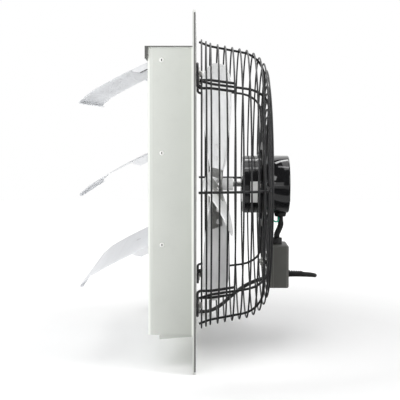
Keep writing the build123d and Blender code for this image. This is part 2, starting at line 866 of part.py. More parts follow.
def rear_bell():
    """The motor's rear shell: a joint lip, four fixing ears, a domed end and the bearing's seat."""
    inside = motor_radius - motor_wall
    seat = bearing_radius + fixed_gap
    edge = motor_rear_edge
    shoulder = edge + motor_edge_radius
    high = motor_radius - motor_edge_radius
    rise = motor_end - shoulder
    dome_radius = (high**2 + rise**2) / (2 * rise)
    half_way = motor_end - dome_radius + sqrt(dome_radius**2 - high**2 / 4)
    knee = motor_edge_radius * sqrt(0.5)
    corner = ThreePointArc((edge, motor_radius), (edge + knee, high + knee), (shoulder, high))
    dome = ThreePointArc((shoulder, high), (half_way, high / 2), (motor_end, 0))
    outline = Polyline(
        (motor_end, 0),
        (edge, 0),
        (edge, seat),
        (rear_bearing_depth, seat),
        (rear_bearing_depth, seat + bearing_seat_wall),
        (edge, seat + bearing_seat_wall),
        (edge, inside),
        (motor_joint, inside),
        (motor_joint, motor_lip_radius),
        (motor_joint + motor_lip_width, motor_lip_radius),
        (motor_joint + motor_lip_width, motor_radius),
        (edge, motor_radius),
    )
    bell = revolve(Plane.XZ * make_face(outline + corner + dome), Axis.X)
    ear_length = ear_radius - inside - motor_wall / 2
    ear = Box(ear_sheet, ear_width, ear_length)
    ear = Pos(ear_front + ear_sheet / 2, 0, ear_radius - ear_length / 2) * ear
    hole = screw_hole(mount_screw_radius + mount_hole_gap, ear_sheet)
    ear -= Pos(ear_front, 0, mount_hole_circle) * hole
    return bell + around_axis(ear, 4)


def screw_hole(radius, sheet):
    """A cutter along the fan's axis, through a sheet that starts at the plane it is placed on."""
    return extrude(Plane.YZ.offset(-cut_overrun) * Circle(radius), sheet + 2 * cut_overrun)


def stator_core():
    """The laminated ring that the shells hold."""
    return disc(stator_front, motor_radius - motor_wall - seat_gap, stator_length, stator_bore)


def windings():
    """The two rings of end turns, one each side of the core."""
    low = stator_bore + winding_inset
    high = motor_radius - motor_wall - winding_inset
    slant = winding_height / 3
    outline = [(0, low), (0, high), (winding_height, high - slant), (winding_height, low + slant)]
    back_plane = stator_front + stator_length + seat_gap
    back = turned([(back_plane + depth, radius) for depth, radius in outline])
    front = turned([(stator_front - seat_gap - depth, radius) for depth, radius in outline])
    return Compound([front, back])


def rotor_core():
    """The rotor on the shaft."""
    return disc(stator_front, stator_bore - air_gap, stator_length, shaft_radius + fixed_gap)


def bearing(depth):
    """A ball bearing drawn as one closed ring."""
    return disc(depth, bearing_radius, bearing_width, shaft_radius + running_gap)


def mount_plate():
    """The ring plate between the motor's ears and the guard's ribs."""
    plate = disc(mount_plate_front, mount_plate_outer, mount_plate_sheet, motor_radius + seat_gap)
    hole = Pos(mount_plate_front, 0, mount_hole_circle)
    hole = hole * screw_hole(mount_screw_radius + mount_hole_gap, mount_plate_sheet)
    ground_hole = Pos(mount_plate_front, -ground_screw_side, -ground_screw_down)
    ground_hole = ground_hole * screw_hole(ground_screw_radius + fixed_gap, mount_plate_sheet)
    return plate - around_axis(hole, 4) - ground_hole


def mount_screws():
    """The four screws that hold the motor's ears to the mounting plate."""
    head = disc(ear_front - mount_screw_head_height, mount_screw_head_radius, mount_screw_head_height)
    end = mount_plate_back + mount_nut_height + fixed_gap
    shank = disc(ear_front, mount_screw_radius, end - ear_front)
    return Compound(around_axis(Pos(0, 0, mount_hole_circle) * (head + shank), 4))


def mount_nuts():
    """The nuts on those screws."""
    hexagon = RegularPolygon(mount_nut_radius, 6) - Circle(mount_screw_radius + fixed_gap)
    nut = extrude(Plane.YZ.offset(mount_plate_back) * hexagon, mount_nut_height)
    return Compound(around_axis(Pos(0, 0, mount_hole_circle) * nut, 4))


# Motor lead, gland and ground wire


def lead_grommet():
    """The rubber boot under the motor, hollowed to the shell's curve."""
    low = motor_radius + grommet_height
    boot = Pos(grommet_depth, 0, -low / 2 - motor_radius / 2)
    boot = boot * Cone(grommet_radius * grommet_taper_share, grommet_radius, low - motor_radius)
    upper = Pos(grommet_depth, 0, -motor_radius / 2) * Cylinder(grommet_radius, motor_radius)
    return boot + upper - disc(0, motor_radius + seat_gap, 2 * motor_end)


def motor_lead():
    """The sleeved lead: it bows out from the boot and drops to the gland."""
    return tube_along(lead_route, lead_sleeve, arc_radii(lead_route))


def cable_gland():
    """The gland on the junction box: a flange and a lobed nut."""
    flange = Cylinder(gland_radius, gland_flange_height)
    nut_height = gland_height - gland_flange_height
    nut = extrude(RegularPolygon(gland_radius, gland_lobes), nut_height)
    middle = Pos(gland_depth, 0, box_top + gland_flange_height / 2)
    return middle * (flange + Pos(0, 0, gland_flange_height / 2) * nut)


def green_wire():
    """The ground wire: it loops down from the boot and runs back to the mounting plate's lug."""
    return tube_along(ground_wire_route, ground_wire, arc_radii(ground_wire_route))


def ground_lug():
    """The ring lug that ends the green wire, under its screw."""
    length = ground_lug_length
    plate = SlotCenterToCenter(length, 2 * ground_screw_head) - Pos(-length / 2, 0) * Circle(
        ground_screw_radius + fixed_gap)
    lug = extrude(plate, ground_lug_sheet)
    barrel = Pos(length / 2, 0, ground_lug_sheet) * Cylinder(
        ground_wire, ground_barrel + ground_lug_sheet, align=(Align.CENTER, Align.CENTER, Align.MIN))
    plane = Plane(origin=(mount_plate_back, -ground_screw_side + length / 2, -ground_screw_down),
                  x_dir=(0, 1, 0), z_dir=(1, 0, 0))
    return plane * (lug + barrel)


def ground_screw():
    """The screw through the lug into the mounting plate."""
    head_seat = mount_plate_back + ground_lug_sheet + fixed_gap
    head = disc(head_seat, ground_screw_head, ground_screw_height)
    shank = disc(mount_plate_front, ground_screw_radius, head_seat - mount_plate_front)
    return Pos(0, -ground_screw_side, -ground_screw_down) * (head + shank)


# Junction box


def box_outline(shrink):
    """The box's outline in the YZ plane, shrunk all round."""
    return RectangleRounded(2 * (box_half_width - shrink), box_height - 2 * shrink, box_corner)


def junction_box():
    """The box: a drawn shell open towards the guard, with holes for the lead and the cord."""
    at_box = Plane.YZ.offset(box_front)
    shell = extrude(at_box * Pos(0, box_middle_height) * box_outline(0), box_depth)
    shell = fillet(shell.faces().sort_by(Axis.X)[-1].edges(), box_corner - fixed_gap)
    shell -= extrude(at_box * Pos(0, box_middle_height) * box_outline(box_wall), box_depth - box_wall)
    drill = Cylinder(lead_sleeve / 2, 2 * box_wall + 2 * cut_overrun)
    shell -= Pos(gland_depth, 0, box_top) * drill
    cord_drill = disc(box_back - box_wall - cut_overrun, cord_radius, box_wall + 2 * cut_overrun)
    return shell - Pos(0, 0, cord_exit_height) * cord_drill


def clamp_height():
    """Height of the clamp bar: midway between the two back rings nearest the box's middle."""
    _, back = ring_spots()
    middles = [(inner[1] + outer[1]) / 2 for inner, outer in zip(back, back[1:])]
    return -min(middles, key=lambda middle: abs(middle + box_middle_height))


def box_back_plate():
    """The plate that closes the box and lies on the guard's rings, with its two screw holes."""
    outline = Pos(0, box_middle_height) * box_outline(0)
    outline -= [Pos(side * box_screw_side, clamp_height()) * Circle(box_screw_radius + fixed_gap)
                for side in (-1, 1)]
    return extrude(Plane.YZ.offset(box_plate_front) * outline, box_plate_sheet)


def box_clamp():
    """The bar inside the guard that the plate's screws pull against a rib."""
    bar = SlotCenterToCenter(2 * (box_clamp_half_length - box_clamp_width / 2), box_clamp_width)
    outline = Pos(0, clamp_height()) * bar
    outline -= [Pos(side * box_screw_side, clamp_height()) * Circle(box_screw_radius + fixed_gap)
                for side in (-1, 1)]
    return extrude(Plane.YZ.offset(mount_plate_front) * outline, mount_plate_sheet)


def box_screws():
    """The two screws through the clamp bar and between the rings into the plate."""
    head = disc(mount_plate_front - box_screw_height, box_screw_head, box_screw_height)
    shank = disc(mount_plate_front, box_screw_radius, box_front + cut_overrun - mount_plate_front)
    screw = head + shank
    return Compound([Pos(0, side * box_screw_side, clamp_height()) * screw for side in (-1, 1)])


def run_capacitor():
    """The motor's run capacitor, lying across the box."""
    can = Rot(90, 0, 0) * Cylinder(capacitor_radius, capacitor_length)
    top = box_top - box_wall
    height = top - capacitor_radius - lead_sleeve / 2
    return Pos(box_front + capacitor_radius + seat_gap, 0, height) * can


def wire_connectors():
    """Three twist-on wire connectors standing in the bottom of the box."""
    cap = Cone(connector_radius, connector_radius / 2, connector_length)
    floor = box_top - box_height + box_wall + seat_gap
    middle = (box_front + box_back - box_wall) / 2
    height = floor + connector_length / 2
    return Compound([Pos(middle, 3 * side * connector_radius, height) * cap for side in (-1, 0, 1)])


# Supply cord


def cord_collar():
    """The strain relief's collar round the cord's exit."""
    collar = disc(box_back, cord_collar_radius, cord_collar_length)
    collar = chamfer(collar.faces().sort_by(Axis.X)[-1].edges(), cord_collar_length / 4)
    return Pos(0, 0, cord_exit_height) * collar


def supply_cord():
    """The cord's free run: out of the box, round behind the guard and down to the coil."""
    radii = arc_radii(cord_route)
    print("cord arc radii", [round(radius, 1) for radius in radii])
    tube = tube_along(cord_route, cord_diameter, radii)
    length = FilletPolyline(*cord_route, radius=radii).length
    section = pi * cord_radius**2
    print(f"cord run {length:.0f} mm, volume over section times length {tube.volume / section / length:.4f}")
    return tube


def coil_point(turns):
    """A point on the coil's centre line, after a number of turns from its start."""
    inward = coil_layer_turns
    climb = coil_climb_turns
    total = 2 * inward + climb
    if turns <= inward + climb / 2:
        from_start = turns
    else:
        from_start = total - turns
    radius = coil_outer_radius - coil_turn_pitch * from_start
    rise = min(max((turns - inward) / climb, 0), 1)
    height = cord_floor + coil_turn_pitch * (1 - cos(pi * rise)) / 2
    angle = 2 * pi * turns
    return Vector(coil_middle_back + radius * cos(angle), coil_middle_side + radius * sin(angle), height)


def coil_tangent(turns):
    """The direction of the coil's centre line there."""
    step = 1 / coil_check_points**2
    before = coil_point(turns - step)
    after = coil_point(turns + step)
    if turns <= 0 or turns >= 2 * coil_layer_turns + coil_climb_turns:
        return Vector(0, 1, 0)
    return (after - before).normalized()


def biarc(start, start_way, end, end_way):
    """Two tangent arcs that join two points, each in its given direction."""
    chord = end - start
    ways = start_way + end_way
    spread = 2 * (1 - start_way.dot(end_way))
    along = chord.dot(ways)
    reach = (sqrt(along**2 + spread * chord.dot(chord)) - along) / spread
    first = start + start_way * reach
    last = end - end_way * reach
    middle = (first + last) * 0.5
    return [
        Edge.make_tangent_arc(start, start_way, middle),
        Edge.make_tangent_arc(middle, last - first, end),
    ]


def cord_coil():
    """The rest of the cord: a flat coil of two layers, one unbroken tube that spirals in and out."""
    total = 2 * coil_layer_turns + coil_climb_turns
    quarters = round(4 * total)
    spots = [total * step / quarters for step in range(quarters + 1)]
    edges = []
    for here, there in zip(spots, spots[1:]):
        edges += biarc(coil_point(here), coil_tangent(here), coil_point(there), coil_tangent(there))
    path = Wire(edges)
    start = Plane(origin=path @ 0, x_dir=(1, 0, 0), z_dir=path % 0)
    tube = sweep(start * RegularPolygon(cord_radius, coil_tube_sides), path)
    samples = [path @ (step / coil_check_points) for step in range(coil_check_points + 1)]
    skip = int(coil_check_points * 2 * cord_diameter / path.length)
    gap = min(
        (one - other).length
        for place, one in enumerate(samples)
        for other in samples[place + skip:]
    ) - cord_diameter
    print(f"coil {path.length:.0f} mm long, least gap to itself {gap:.2f} mm")
    return tube


def cord_tail():
    """The short run from the coil to the plug."""
    return tube_along(cord_tail_route, cord_diameter, arc_radii(cord_tail_route))


def plug_frame():
    """The plane at the plug's cord end: its z axis points the way the plug does."""
    before, end = [Vector(*point) for point in cord_tail_route[-2:]]
    ahead = (end - before).normalized()
    flat = Vector(ahead.X, ahead.Y, 0).normalized()
    return Plane(origin=end, x_dir=(-flat.Y, flat.X, 0), z_dir=flat)


def plug_body():
    """The moulded plug: a tapering neck and a waisted grip."""
    frame = plug_frame()
    neck = frame * Circle(plug_neck_radius)
    grip = frame.offset(plug_nose_length) * RectangleRounded(plug_waist_width, plug_waist_height, plug_corner)
    end = frame.offset(plug_nose_length + plug_length)
    face = end * RectangleRounded(plug_width, plug_height, plug_corner)
    return loft([neck, grip]) + loft([grip, face])


def plug_blades():
    """Two flat blades and the round ground pin."""
    front = plug_frame().offset(plug_nose_length + plug_length)
    blade = extrude(Rectangle(plug_blade_sheet, plug_blade_width), plug_blade_length)
    pin = extrude(Circle(plug_ground_radius), plug_blade_length + plug_ground_back)
    pieces = [Pos(side * plug_blade_half_gap, 0, 0) * blade for side in (-1, 1)]
    return Compound([front * piece for piece in pieces + [Pos(0, plug_ground_drop, 0) * pin]])


# The pieces, and the file each is written to

pieces = {
    "mounting_panel": mounting_panel,
    "housing_side_near": lambda: side_wall(-1),
    "housing_side_far": lambda: side_wall(1),
    "top_hood": top_hood,
    "bottom_plate": bottom_plate,
    "pivot_pins": pivot_pins,
    "pivot_bushings": pivot_bushings,
    "tie_bar": tie_bar,
    "guard_mouth_rings": guard_mouth_rings,
    "guard_side_rings": guard_side_rings,
    "guard_back_rings": guard_back_rings,
    "guard_ribs": guard_ribs,
    "guard_feet": guard_feet,
    "foot_screws": foot_screws,
    "foot_washers": foot_washers,
    "blade_spider": blade_spider,
    "blade_rivets": blade_rivets,
    "fan_hub": fan_hub,
    "hub_set_screw": hub_set_screw,
    "fan_shaft": fan_shaft,
    "motor_front_bell": front_bell,
    "motor_rear_bell": rear_bell,
    "stator_core": stator_core,
    "windings": windings,
    "rotor_core": rotor_core,
    "front_bearing": lambda: bearing(front_bearing_depth),
    "rear_bearing": lambda: bearing(rear_bearing_depth),
    "mount_plate": mount_plate,
    "mount_screws": mount_screws,
    "mount_nuts": mount_nuts,
    "lead_grommet": lead_grommet,
    "motor_lead": motor_lead,
    "cable_gland": cable_gland,
    "ground_wire": green_wire,
    "ground_lug": ground_lug,
    "ground_screw": ground_screw,
    "junction_box": junction_box,
    "box_back_plate": box_back_plate,
    "box_clamp": box_clamp,
    "box_screws": box_screws,
    "run_capacitor": run_capacitor,
    "wire_connectors": wire_connectors,
    "cord_collar": cord_collar,
    "supply_cord": supply_cord,
    "cord_coil": cord_coil,
    "cord_tail": cord_tail,
    "plug_body": plug_body,
    "plug_blades": plug_blades,
}

os.makedirs("parts", exist_ok=True)
for name, make in pieces.items():
    write(name, make())
for number in range(louver_count):
    write(f"louver_{number + 1}", on_pivot(number, louver_blade()))
    write(f"tie_pin_{number + 1}", tie_pin(number))
for number in range(blade_count):
    write(f"fan_blade_{number + 1}", trimmed_blade(number))
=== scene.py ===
"""Looks of a shutter exhaust fan, laid out as a Blender add-on and run as a script.

Everything is in metres, in the frame of the CAD part: +Z up, +X along the fan's axis from the
louvers outdoors to the motor indoors, the origin on the axis in the panel's wall face.
"""

import json
from math import cos, pi, radians, sin, tan

import bmesh
import bpy
from mathutils import Matrix, Vector

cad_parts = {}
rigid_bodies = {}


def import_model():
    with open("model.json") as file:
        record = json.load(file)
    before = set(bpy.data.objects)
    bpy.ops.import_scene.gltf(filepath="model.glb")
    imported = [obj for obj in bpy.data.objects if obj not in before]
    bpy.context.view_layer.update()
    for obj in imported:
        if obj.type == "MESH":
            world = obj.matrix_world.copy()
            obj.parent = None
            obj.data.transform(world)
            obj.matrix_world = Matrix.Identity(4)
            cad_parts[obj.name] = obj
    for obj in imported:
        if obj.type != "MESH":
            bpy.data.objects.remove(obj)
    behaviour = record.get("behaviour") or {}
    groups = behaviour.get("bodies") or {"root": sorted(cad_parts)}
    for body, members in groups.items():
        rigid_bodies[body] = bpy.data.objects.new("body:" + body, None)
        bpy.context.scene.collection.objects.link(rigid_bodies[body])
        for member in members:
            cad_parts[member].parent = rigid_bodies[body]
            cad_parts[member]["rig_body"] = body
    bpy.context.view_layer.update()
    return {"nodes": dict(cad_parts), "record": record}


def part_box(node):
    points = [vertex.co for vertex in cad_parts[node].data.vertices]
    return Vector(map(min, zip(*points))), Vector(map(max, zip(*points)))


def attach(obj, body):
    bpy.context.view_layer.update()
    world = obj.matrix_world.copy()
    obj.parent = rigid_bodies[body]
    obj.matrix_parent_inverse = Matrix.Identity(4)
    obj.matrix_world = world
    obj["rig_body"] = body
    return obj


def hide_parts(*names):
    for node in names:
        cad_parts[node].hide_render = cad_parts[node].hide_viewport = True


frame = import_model()
nodes = frame["nodes"]
slot_of = {row["node"]: row["material_slot"] for row in frame["record"]["subparts"]}

bl_info = {
    "name": "Shutter exhaust fan",
    "version": (1, 0, 0),
    "blender": (4, 5, 0),
    "location": "3D View > Sidebar > Fan",
    "description": "Dresses the CAD parts of a shutter exhaust fan with their finishes",
    "category": "Object",
}


# Properties a user would change


def colour(name, description, default):
    """A colour property."""
    return bpy.props.FloatVectorProperty(
        name=name, description=description, default=default, subtype="COLOR", min=0, max=1
    )


def length(name, description, default):
    """A length property, in metres."""
    return bpy.props.FloatProperty(
        name=name, description=description, default=default, min=0, unit="LENGTH"
    )


class FanColours(bpy.types.PropertyGroup):
    """Colours of the fan's finishes"""

    panel: colour("Panel", "Paint of the mounting panel", (0.72, 0.73, 0.70))
    housing: colour("Housing", "Paint of the shutter housing", (0.68, 0.70, 0.66))
    louver: colour("Louvers", "Mill aluminium of the louvers", (0.92, 0.93, 0.95))
    guard: colour("Guard", "Powder coat of the wire guard", (0.012, 0.012, 0.013))
    blade: colour("Blades", "Aluminium of the fan blades", (0.87, 0.87, 0.87))
    zinc: colour("Zinc", "Plated steel of screws and brackets", (0.52, 0.52, 0.50))
    motor: colour("Motor", "Enamel of the motor's shells", (0.010, 0.010, 0.011))
    box: colour("Junction box", "Paint of the junction box", (0.080, 0.080, 0.073))
    rubber: colour("Rubber", "Cord, strain relief, sleeve and grommet", (0.014, 0.014, 0.014))
    ground: colour("Ground wire", "Insulation of the ground wire", (0.008, 0.40, 0.25))
    floor: colour("Floor", "Floor of the stage", (0.93, 0.93, 0.93))


class FanSizes(bpy.types.PropertyGroup):
    """Sizes of the pieces that are drawn finer than the CAD solids"""

    ring_wire: length("Ring wire", "Diameter of the guard's ring wire", 0.0026)
    rib_wire: length("Rib wire", "Diameter of the guard's rib wire", 0.0038)
    foot_wire: length("Foot wire", "Diameter of the guard's foot wire", 0.0040)
    cord_wire: length("Cord", "Diameter of the supply cord", 0.0066)
    cord_length: length("Cord length", "Length of the supply cord", 1.49)


class FanStage(bpy.types.PropertyGroup):
    """Where the camera stands"""

    distance: length("Distance", "Camera's distance from the fan's axis", 1.864)
    height: length("Height", "Camera's height above the fan's axis", 0.103)
    side: length("Side", "Camera's place along the fan's axis", 0.0076)
    focal_pixels: bpy.props.FloatProperty(
        name="Focal length", description="Focal length in the photograph's pixels", default=1159
    )
    dip: bpy.props.FloatProperty(
        name="Dip", description="How far the camera looks down", default=radians(3.95),
        subtype="ANGLE",
    )


# Shader expressions

mark_blur = 0.0002


class Sock:
    """A shader socket: sums and products of these add Math nodes."""

    def __init__(self, finish, socket):
        self.finish = finish
        self.socket = socket

    def math(self, operation, *others):
        node = self.finish.node("ShaderNodeMath", {"operation": operation}, self, *others)
        return self.finish.out(node)

    def __add__(self, other):
        return self.math("ADD", other)

    def __mul__(self, other):
        return self.math("MULTIPLY", other)

    def __sub__(self, other):
        return self.math("SUBTRACT", other)

    def __rsub__(self, other):
        return (self * -1) + other

    __radd__ = __add__
    __rmul__ = __mul__


class Tree:
    """A node tree, which its own methods fill."""

    def node(self, kind, settings=None, *values, **named):
        """A node: its settings first, then values or links for its sockets.

        An underscore in a socket's name stands for a space.
        """
        made = self.tree.nodes.new(kind)
        for key, value in (settings or {}).items():
            setattr(made, key, value)
        for socket, value in zip(made.inputs, values):
            self.feed(socket, value)
        for name, value in named.items():
            self.feed(made.inputs[name.replace("_", " ")], value)
        return made

    def feed(self, socket, value):
        """Links a socket to another or to a node's first one, or sets its value."""
        if isinstance(value, Sock):
            value = value.socket
        if isinstance(value, bpy.types.Node):
            value = value.outputs[0]
        if isinstance(value, bpy.types.NodeSocket):
            self.tree.links.new(value, socket)
        else:
            socket.default_value = value


class Finish(Tree):
    """One material and the nodes of its tree."""

    def __init__(self, name):
        self.material = bpy.data.materials.new(name)
        self.material.use_nodes = True
        self.tree = self.material.node_tree
        self.tree.nodes.clear()
        self.shader = self.node("ShaderNodeBsdfPrincipled")
        end = self.node("ShaderNodeOutputMaterial")
        self.tree.links.new(self.shader.outputs[0], end.inputs["Surface"])
        self.place = self.out(self.node("ShaderNodeTexCoord"), "Object")

    def out(self, node, name=0):
        return Sock(self, node.outputs[name])

    def stretched(self, stretch):
        """Object coordinates, stretched along each axis."""
        return self.out(self.node("ShaderNodeMapping", Vector=self.place, Scale=stretch))

    def along(self, axis, place=None):
        """How far a place lies along one axis."""
        return self.out(self.node("ShaderNodeSeparateXYZ", Vector=place or self.place), axis)

    def noise(self, scale, detail=3.0, rough=0.55, at=None):
        """Cloudy noise from 0 to 1."""
        made = self.node("ShaderNodeTexNoise", Vector=at or self.place, Scale=scale,
                         Detail=detail, Roughness=rough)
        return self.out(made, "Fac")

    def cells(self, scale):
        """Distance to the nearest of scattered points."""
        return self.out(self.node("ShaderNodeTexVoronoi", Vector=self.place, Scale=scale))

    def inside(self, origin, turn, middle, half):
        """1 inside a box that is set out in a moved and turned frame, else 0."""
        own = self.out(self.node("ShaderNodeMapping", {"vector_type": "TEXTURE"}, Vector=self.place,
                                 Location=origin, Rotation=(0, turn, 0)))
        share = 1.0
        for axis, spot, reach in zip("XYZ", middle, half):
            away = (self.along(axis, own) - spot).math("ABSOLUTE")
            share = self.spread(away, reach, reach + mark_blur, 1, 0) * share
        return share

    def spread(self, value, low, high, to_low=0.0, to_high=1.0):
        """A value taken from one range to another, and held inside it."""
        made = self.node("ShaderNodeMapRange", {"clamp": True}, value, low, high, to_low, to_high)
        return self.out(made)

    def blend(self, share, first, second):
        """A colour between two, by a share."""
        made = self.node("ShaderNodeMix", {"data_type": "RGBA"})
        self.feed(made.inputs[0], share)
        self.feed(made.inputs[6], first)
        self.feed(made.inputs[7], second)
        return Sock(self, made.outputs[2])

    def bump(self, height, depth):
        """Feeds the normal from a height, as deep as this many metres."""
        made = self.node("ShaderNodeBump", Strength=1.0, Distance=depth, Height=height)
        self.set(Normal=self.out(made))

    def set(self, **values):
        """Sets or links the shader's sockets; an underscore stands for a space."""
        for name, value in values.items():
            self.feed(self.shader.inputs[name.replace("_", " ")], value)


class Sky(Finish):
    """The world and its tree, worked as a finish's."""

    def __init__(self, scene):
        scene.world = bpy.data.worlds.new("studio")
        scene.world.use_nodes = True
        self.tree = scene.world.node_tree
        self.shader = self.tree.nodes["Background"]


def ray_kinds(made, *kinds):
    """1 for rays of each of these kinds, else 0."""
    path = made.node("ShaderNodeLightPath")
    return [made.out(path, f"Is {kind} Ray") for kind in kinds]


def lit(made, level, seen, mirrored):
    """A strength, with what is added to it for the camera's rays and for mirrored ones."""
    camera, glossy = ray_kinds(made, "Camera", "Glossy")
    return camera * seen + glossy * mirrored + level


def shade(tint, factor):
    """A colour made darker or lighter, with full alpha."""
    return (*[min(1, part * factor) for part in tint[:3]], 1)


# Finishes

black = (0, 0, 0, 1)
# Black of slots, and of the painted shadow line on the first louver
slot_and_shadow_black = (0.03, 0.03, 0.03, 1)
# Grey of cut sheet edges, which also paints shade on the hood's end lips and the panel's rim
cut_edge_and_shade_grey = (0.13, 0.13, 0.125, 1)
line_blur = 0.0001
bend_blur = 0.0003
# Painted shade on the housing: it darkens downwards between these heights and towards the wall
# between these depths
painted_shade_heights = (-0.05, -0.23)
painted_shade_depths = (-0.07, 0)


def painted(name, tint, gloss=0.38, peel=0.00002, dirt=0.10, edges=(), edge_back=-1.0, bends=(),
            slope=0):
    """Baked paint on sheet metal: faint orange peel, slow tone changes, a little dust.

    Past each edge's limit, behind edge_back, the cut metal shows, grey also as painted shade.
    A bend is a line between two depths that is lighter or darker: a painted highlight or painted
    shade. slope is painted shade that darkens the paint downwards and towards the wall.
    """
    made = Finish(name)
    cloud = made.noise(7, 4)
    dust = made.spread(made.noise(60, 6, 0.7), 0.52, 0.78)
    tone = made.blend(made.spread(cloud, 0.3, 0.7), shade(tint, 0.965), shade(tint, 1.03))
    tone = made.blend(dust * dirt, tone, shade(tint, 0.62))
    depth = made.along("X")
    # painted shade, darker downwards and towards the wall
    if slope:
        low = made.spread(made.along("Z"), *painted_shade_heights)
        tone = made.blend((low + made.spread(depth, *painted_shade_depths)) * slope, tone, black)
    # cut metal, and painted shade on the hood's end lips and the panel's rim
    behind = made.spread(depth, edge_back - line_blur, edge_back)
    for axis, limit in edges:
        past = made.spread(made.along(axis).math("ABSOLUTE"), limit - line_blur, limit) * behind
        tone = made.blend(past, tone, cut_edge_and_shade_grey)
    # painted highlights and painted shade along bends
    for start, end, light_factor in bends:
        rim = made.spread(depth, start - bend_blur, start) * made.spread(depth, end, end - line_blur)
        tone = made.blend(rim, tone, shade(tint, light_factor))
    made.set(Base_Color=tone,
             Roughness=made.spread(cloud + dust * 0.3, 0.3, 1.0, gloss, gloss + 0.16))
    made.bump(made.noise(900, 2) + made.noise(2600, 1) * 0.4, peel)
    return made.material


def rolled(name, tint, stretch=(1, 30, 1), rough=0.34, metal=0.85, grain=0.00001, strength=1.0,
           marks=(), mirror=0.5):
    """Rolled metal: fine streaks of a given strength along its rolling direction, and dark marks.

    The marks are slots, and on the louvers painted shade and a painted shadow line.
    """
    made = Finish(name)
    streak = made.noise(45, 5, 0.65, made.stretched(stretch))
    stain = made.noise(11, 4)
    share = made.spread(streak, 0.3, 0.72)
    tone = made.blend(share, shade(tint, 1 - 0.10 * strength), shade(tint, 1 + 0.06 * strength))
    tone = made.blend(made.spread(stain, 0.55, 0.8) * 0.25 * strength, tone, shade(tint, 0.75))
    for shadow, *place in marks:
        tone = made.blend(made.inside(*place), tone, shadow)
    made.set(Base_Color=tone, Metallic=metal, Specular_IOR_Level=mirror,
             Roughness=made.spread(streak * 0.6 + stain * 0.4, 0.3, 0.7, rough - 0.07, rough + 0.12))
    made.bump(streak, grain)
    return made.material


def powder(name, tint, rough=0.42, grain=0.00003, coat=0.0, uneven=0.2):
    """Powder coat or enamel: even, with a fine texture and a few scuffs."""
    made = Finish(name)
    speck = made.noise(1600, 2)
    scuff = made.spread(made.noise(35, 8, 0.75), 0.62, 0.75)
    tone = made.blend(scuff * 0.5, shade(tint, 1), shade(tint, 2.4))
    made.set(Base_Color=tone, Coat_Weight=coat, Coat_Roughness=0.03,
             Roughness=made.spread(speck + scuff * 0.5, 0.3, 1.1, rough - 0.05, rough + uneven))
    made.bump(speck, grain)
    return made.material


def soft(name, tint, rough=0.62, grain=0.00004):
    """Rubber or moulded plastic with a matt grain."""
    made = Finish(name)
    cloud = made.noise(120, 4)
    tone = made.blend(made.spread(cloud, 0.35, 0.7), shade(tint, 0.85), shade(tint, 1.35))
    made.set(Base_Color=tone, Roughness=made.spread(cloud, 0.3, 0.7, rough - 0.08, rough + 0.1))
    made.bump(made.noise(2200, 2), grain)
    return made.material


def plated(name, tint, rough=0.30):
    """Zinc plate: cloudy bright metal."""
    made = Finish(name)
    patch = made.cells(260)
    cloud = made.noise(90, 5)
    tone = made.blend(made.spread(patch + cloud, 0.6, 1.3), shade(tint, 0.82), shade(tint, 1.12))
    made.set(Base_Color=tone, Metallic=0.9,
             Roughness=made.spread(cloud, 0.3, 0.7, rough, rough + 0.2))
    made.bump(cloud, 0.00001)
    return made.material


def banded(made, rate):
    """A wave from 0 to 1 along the fan's axis, turning by so many radians a metre."""
    return (made.along("X") * rate).math("SINE") * 0.5 + 0.5


def wound(name, tint):
    """Varnished copper turns, wound round the fan's axis."""
    made = Finish(name)
    turn = banded(made, 5200)
    tone = made.blend(turn, shade(tint, 0.5), shade(tint, 1.1))
    made.set(Base_Color=tone, Metallic=0.6, Roughness=0.32, Coat_Weight=0.5)
    made.bump(turn, 0.0003)
    return made.material


def stacked(name, tint):
    """The edges of stacked steel laminations."""
    made = Finish(name)
    turn = banded(made, 12500)
    rust = made.spread(made.noise(80, 5), 0.6, 0.75)
    tone = made.blend(turn, shade(tint, 0.55), shade(tint, 1.1))
    tone = made.blend(rust * 0.5, tone, (0.16, 0.07, 0.03, 1))
    made.set(Base_Color=tone, Metallic=0.7, Roughness=made.spread(rust, 0, 1, 0.45, 0.8))
    made.bump(turn, 0.00015)
    return made.material


# Louvers, as the CAD source has them, and where sheet metal shows its edges, bends and marks:
# partly cut metal and slots, partly painted highlights and painted shade

louver_numbers = (1, 2, 3)
louver_tilt = radians(-26)
louver_pitch = 0.132
first_pivot = Vector((-0.047, 0, 0.188))
# Louvers' painted shade: darker end flanges, and a painted shadow line under the first one's flange
# edge
flange_side, flange_half_sheet = 0.2022, 0.0007
flange_shadow_line = ((-0.036, 0, -0.0029), (0.0122, 1, 0.0009))
tab_slot = ((-0.047, 0.008, 0.006), (0.0034, 0.002, 0.004))
pin_slot = ((0, 0, 0), (0.0006, 1, 0.0016))
# Past the panel's and the hood's edge limits the sheet is grey: cut metal and painted shade
panel_edge, panel_edge_back = 0.2549, -0.0007
# Painted shade along the panel's rim bend
panel_bend_shade = ((-0.0030, -0.0008, 0.88),)
hood_edge = 0.2082
# Painted highlights on the housing's flange bend and front fold, and a painted shade line at its
# crease
housing_bend_highlights_and_shade = ((-0.0042, 0.001, 1.32), (-0.08, -0.0640, 1.24), (-0.0592, -0.0584, 0.94))
# Painted highlight lines on the junction box's front
box_edge_highlights = ((0.1206, 0.1214, 1.8), (0.1238, 0.1248, 1.6), (0.1455, 0.1465, 1.8))


def pivot_place(number):
    """The middle of a louver's pivot axis."""
    return first_pivot - Vector((0, 0, louver_pitch * (number - 1)))


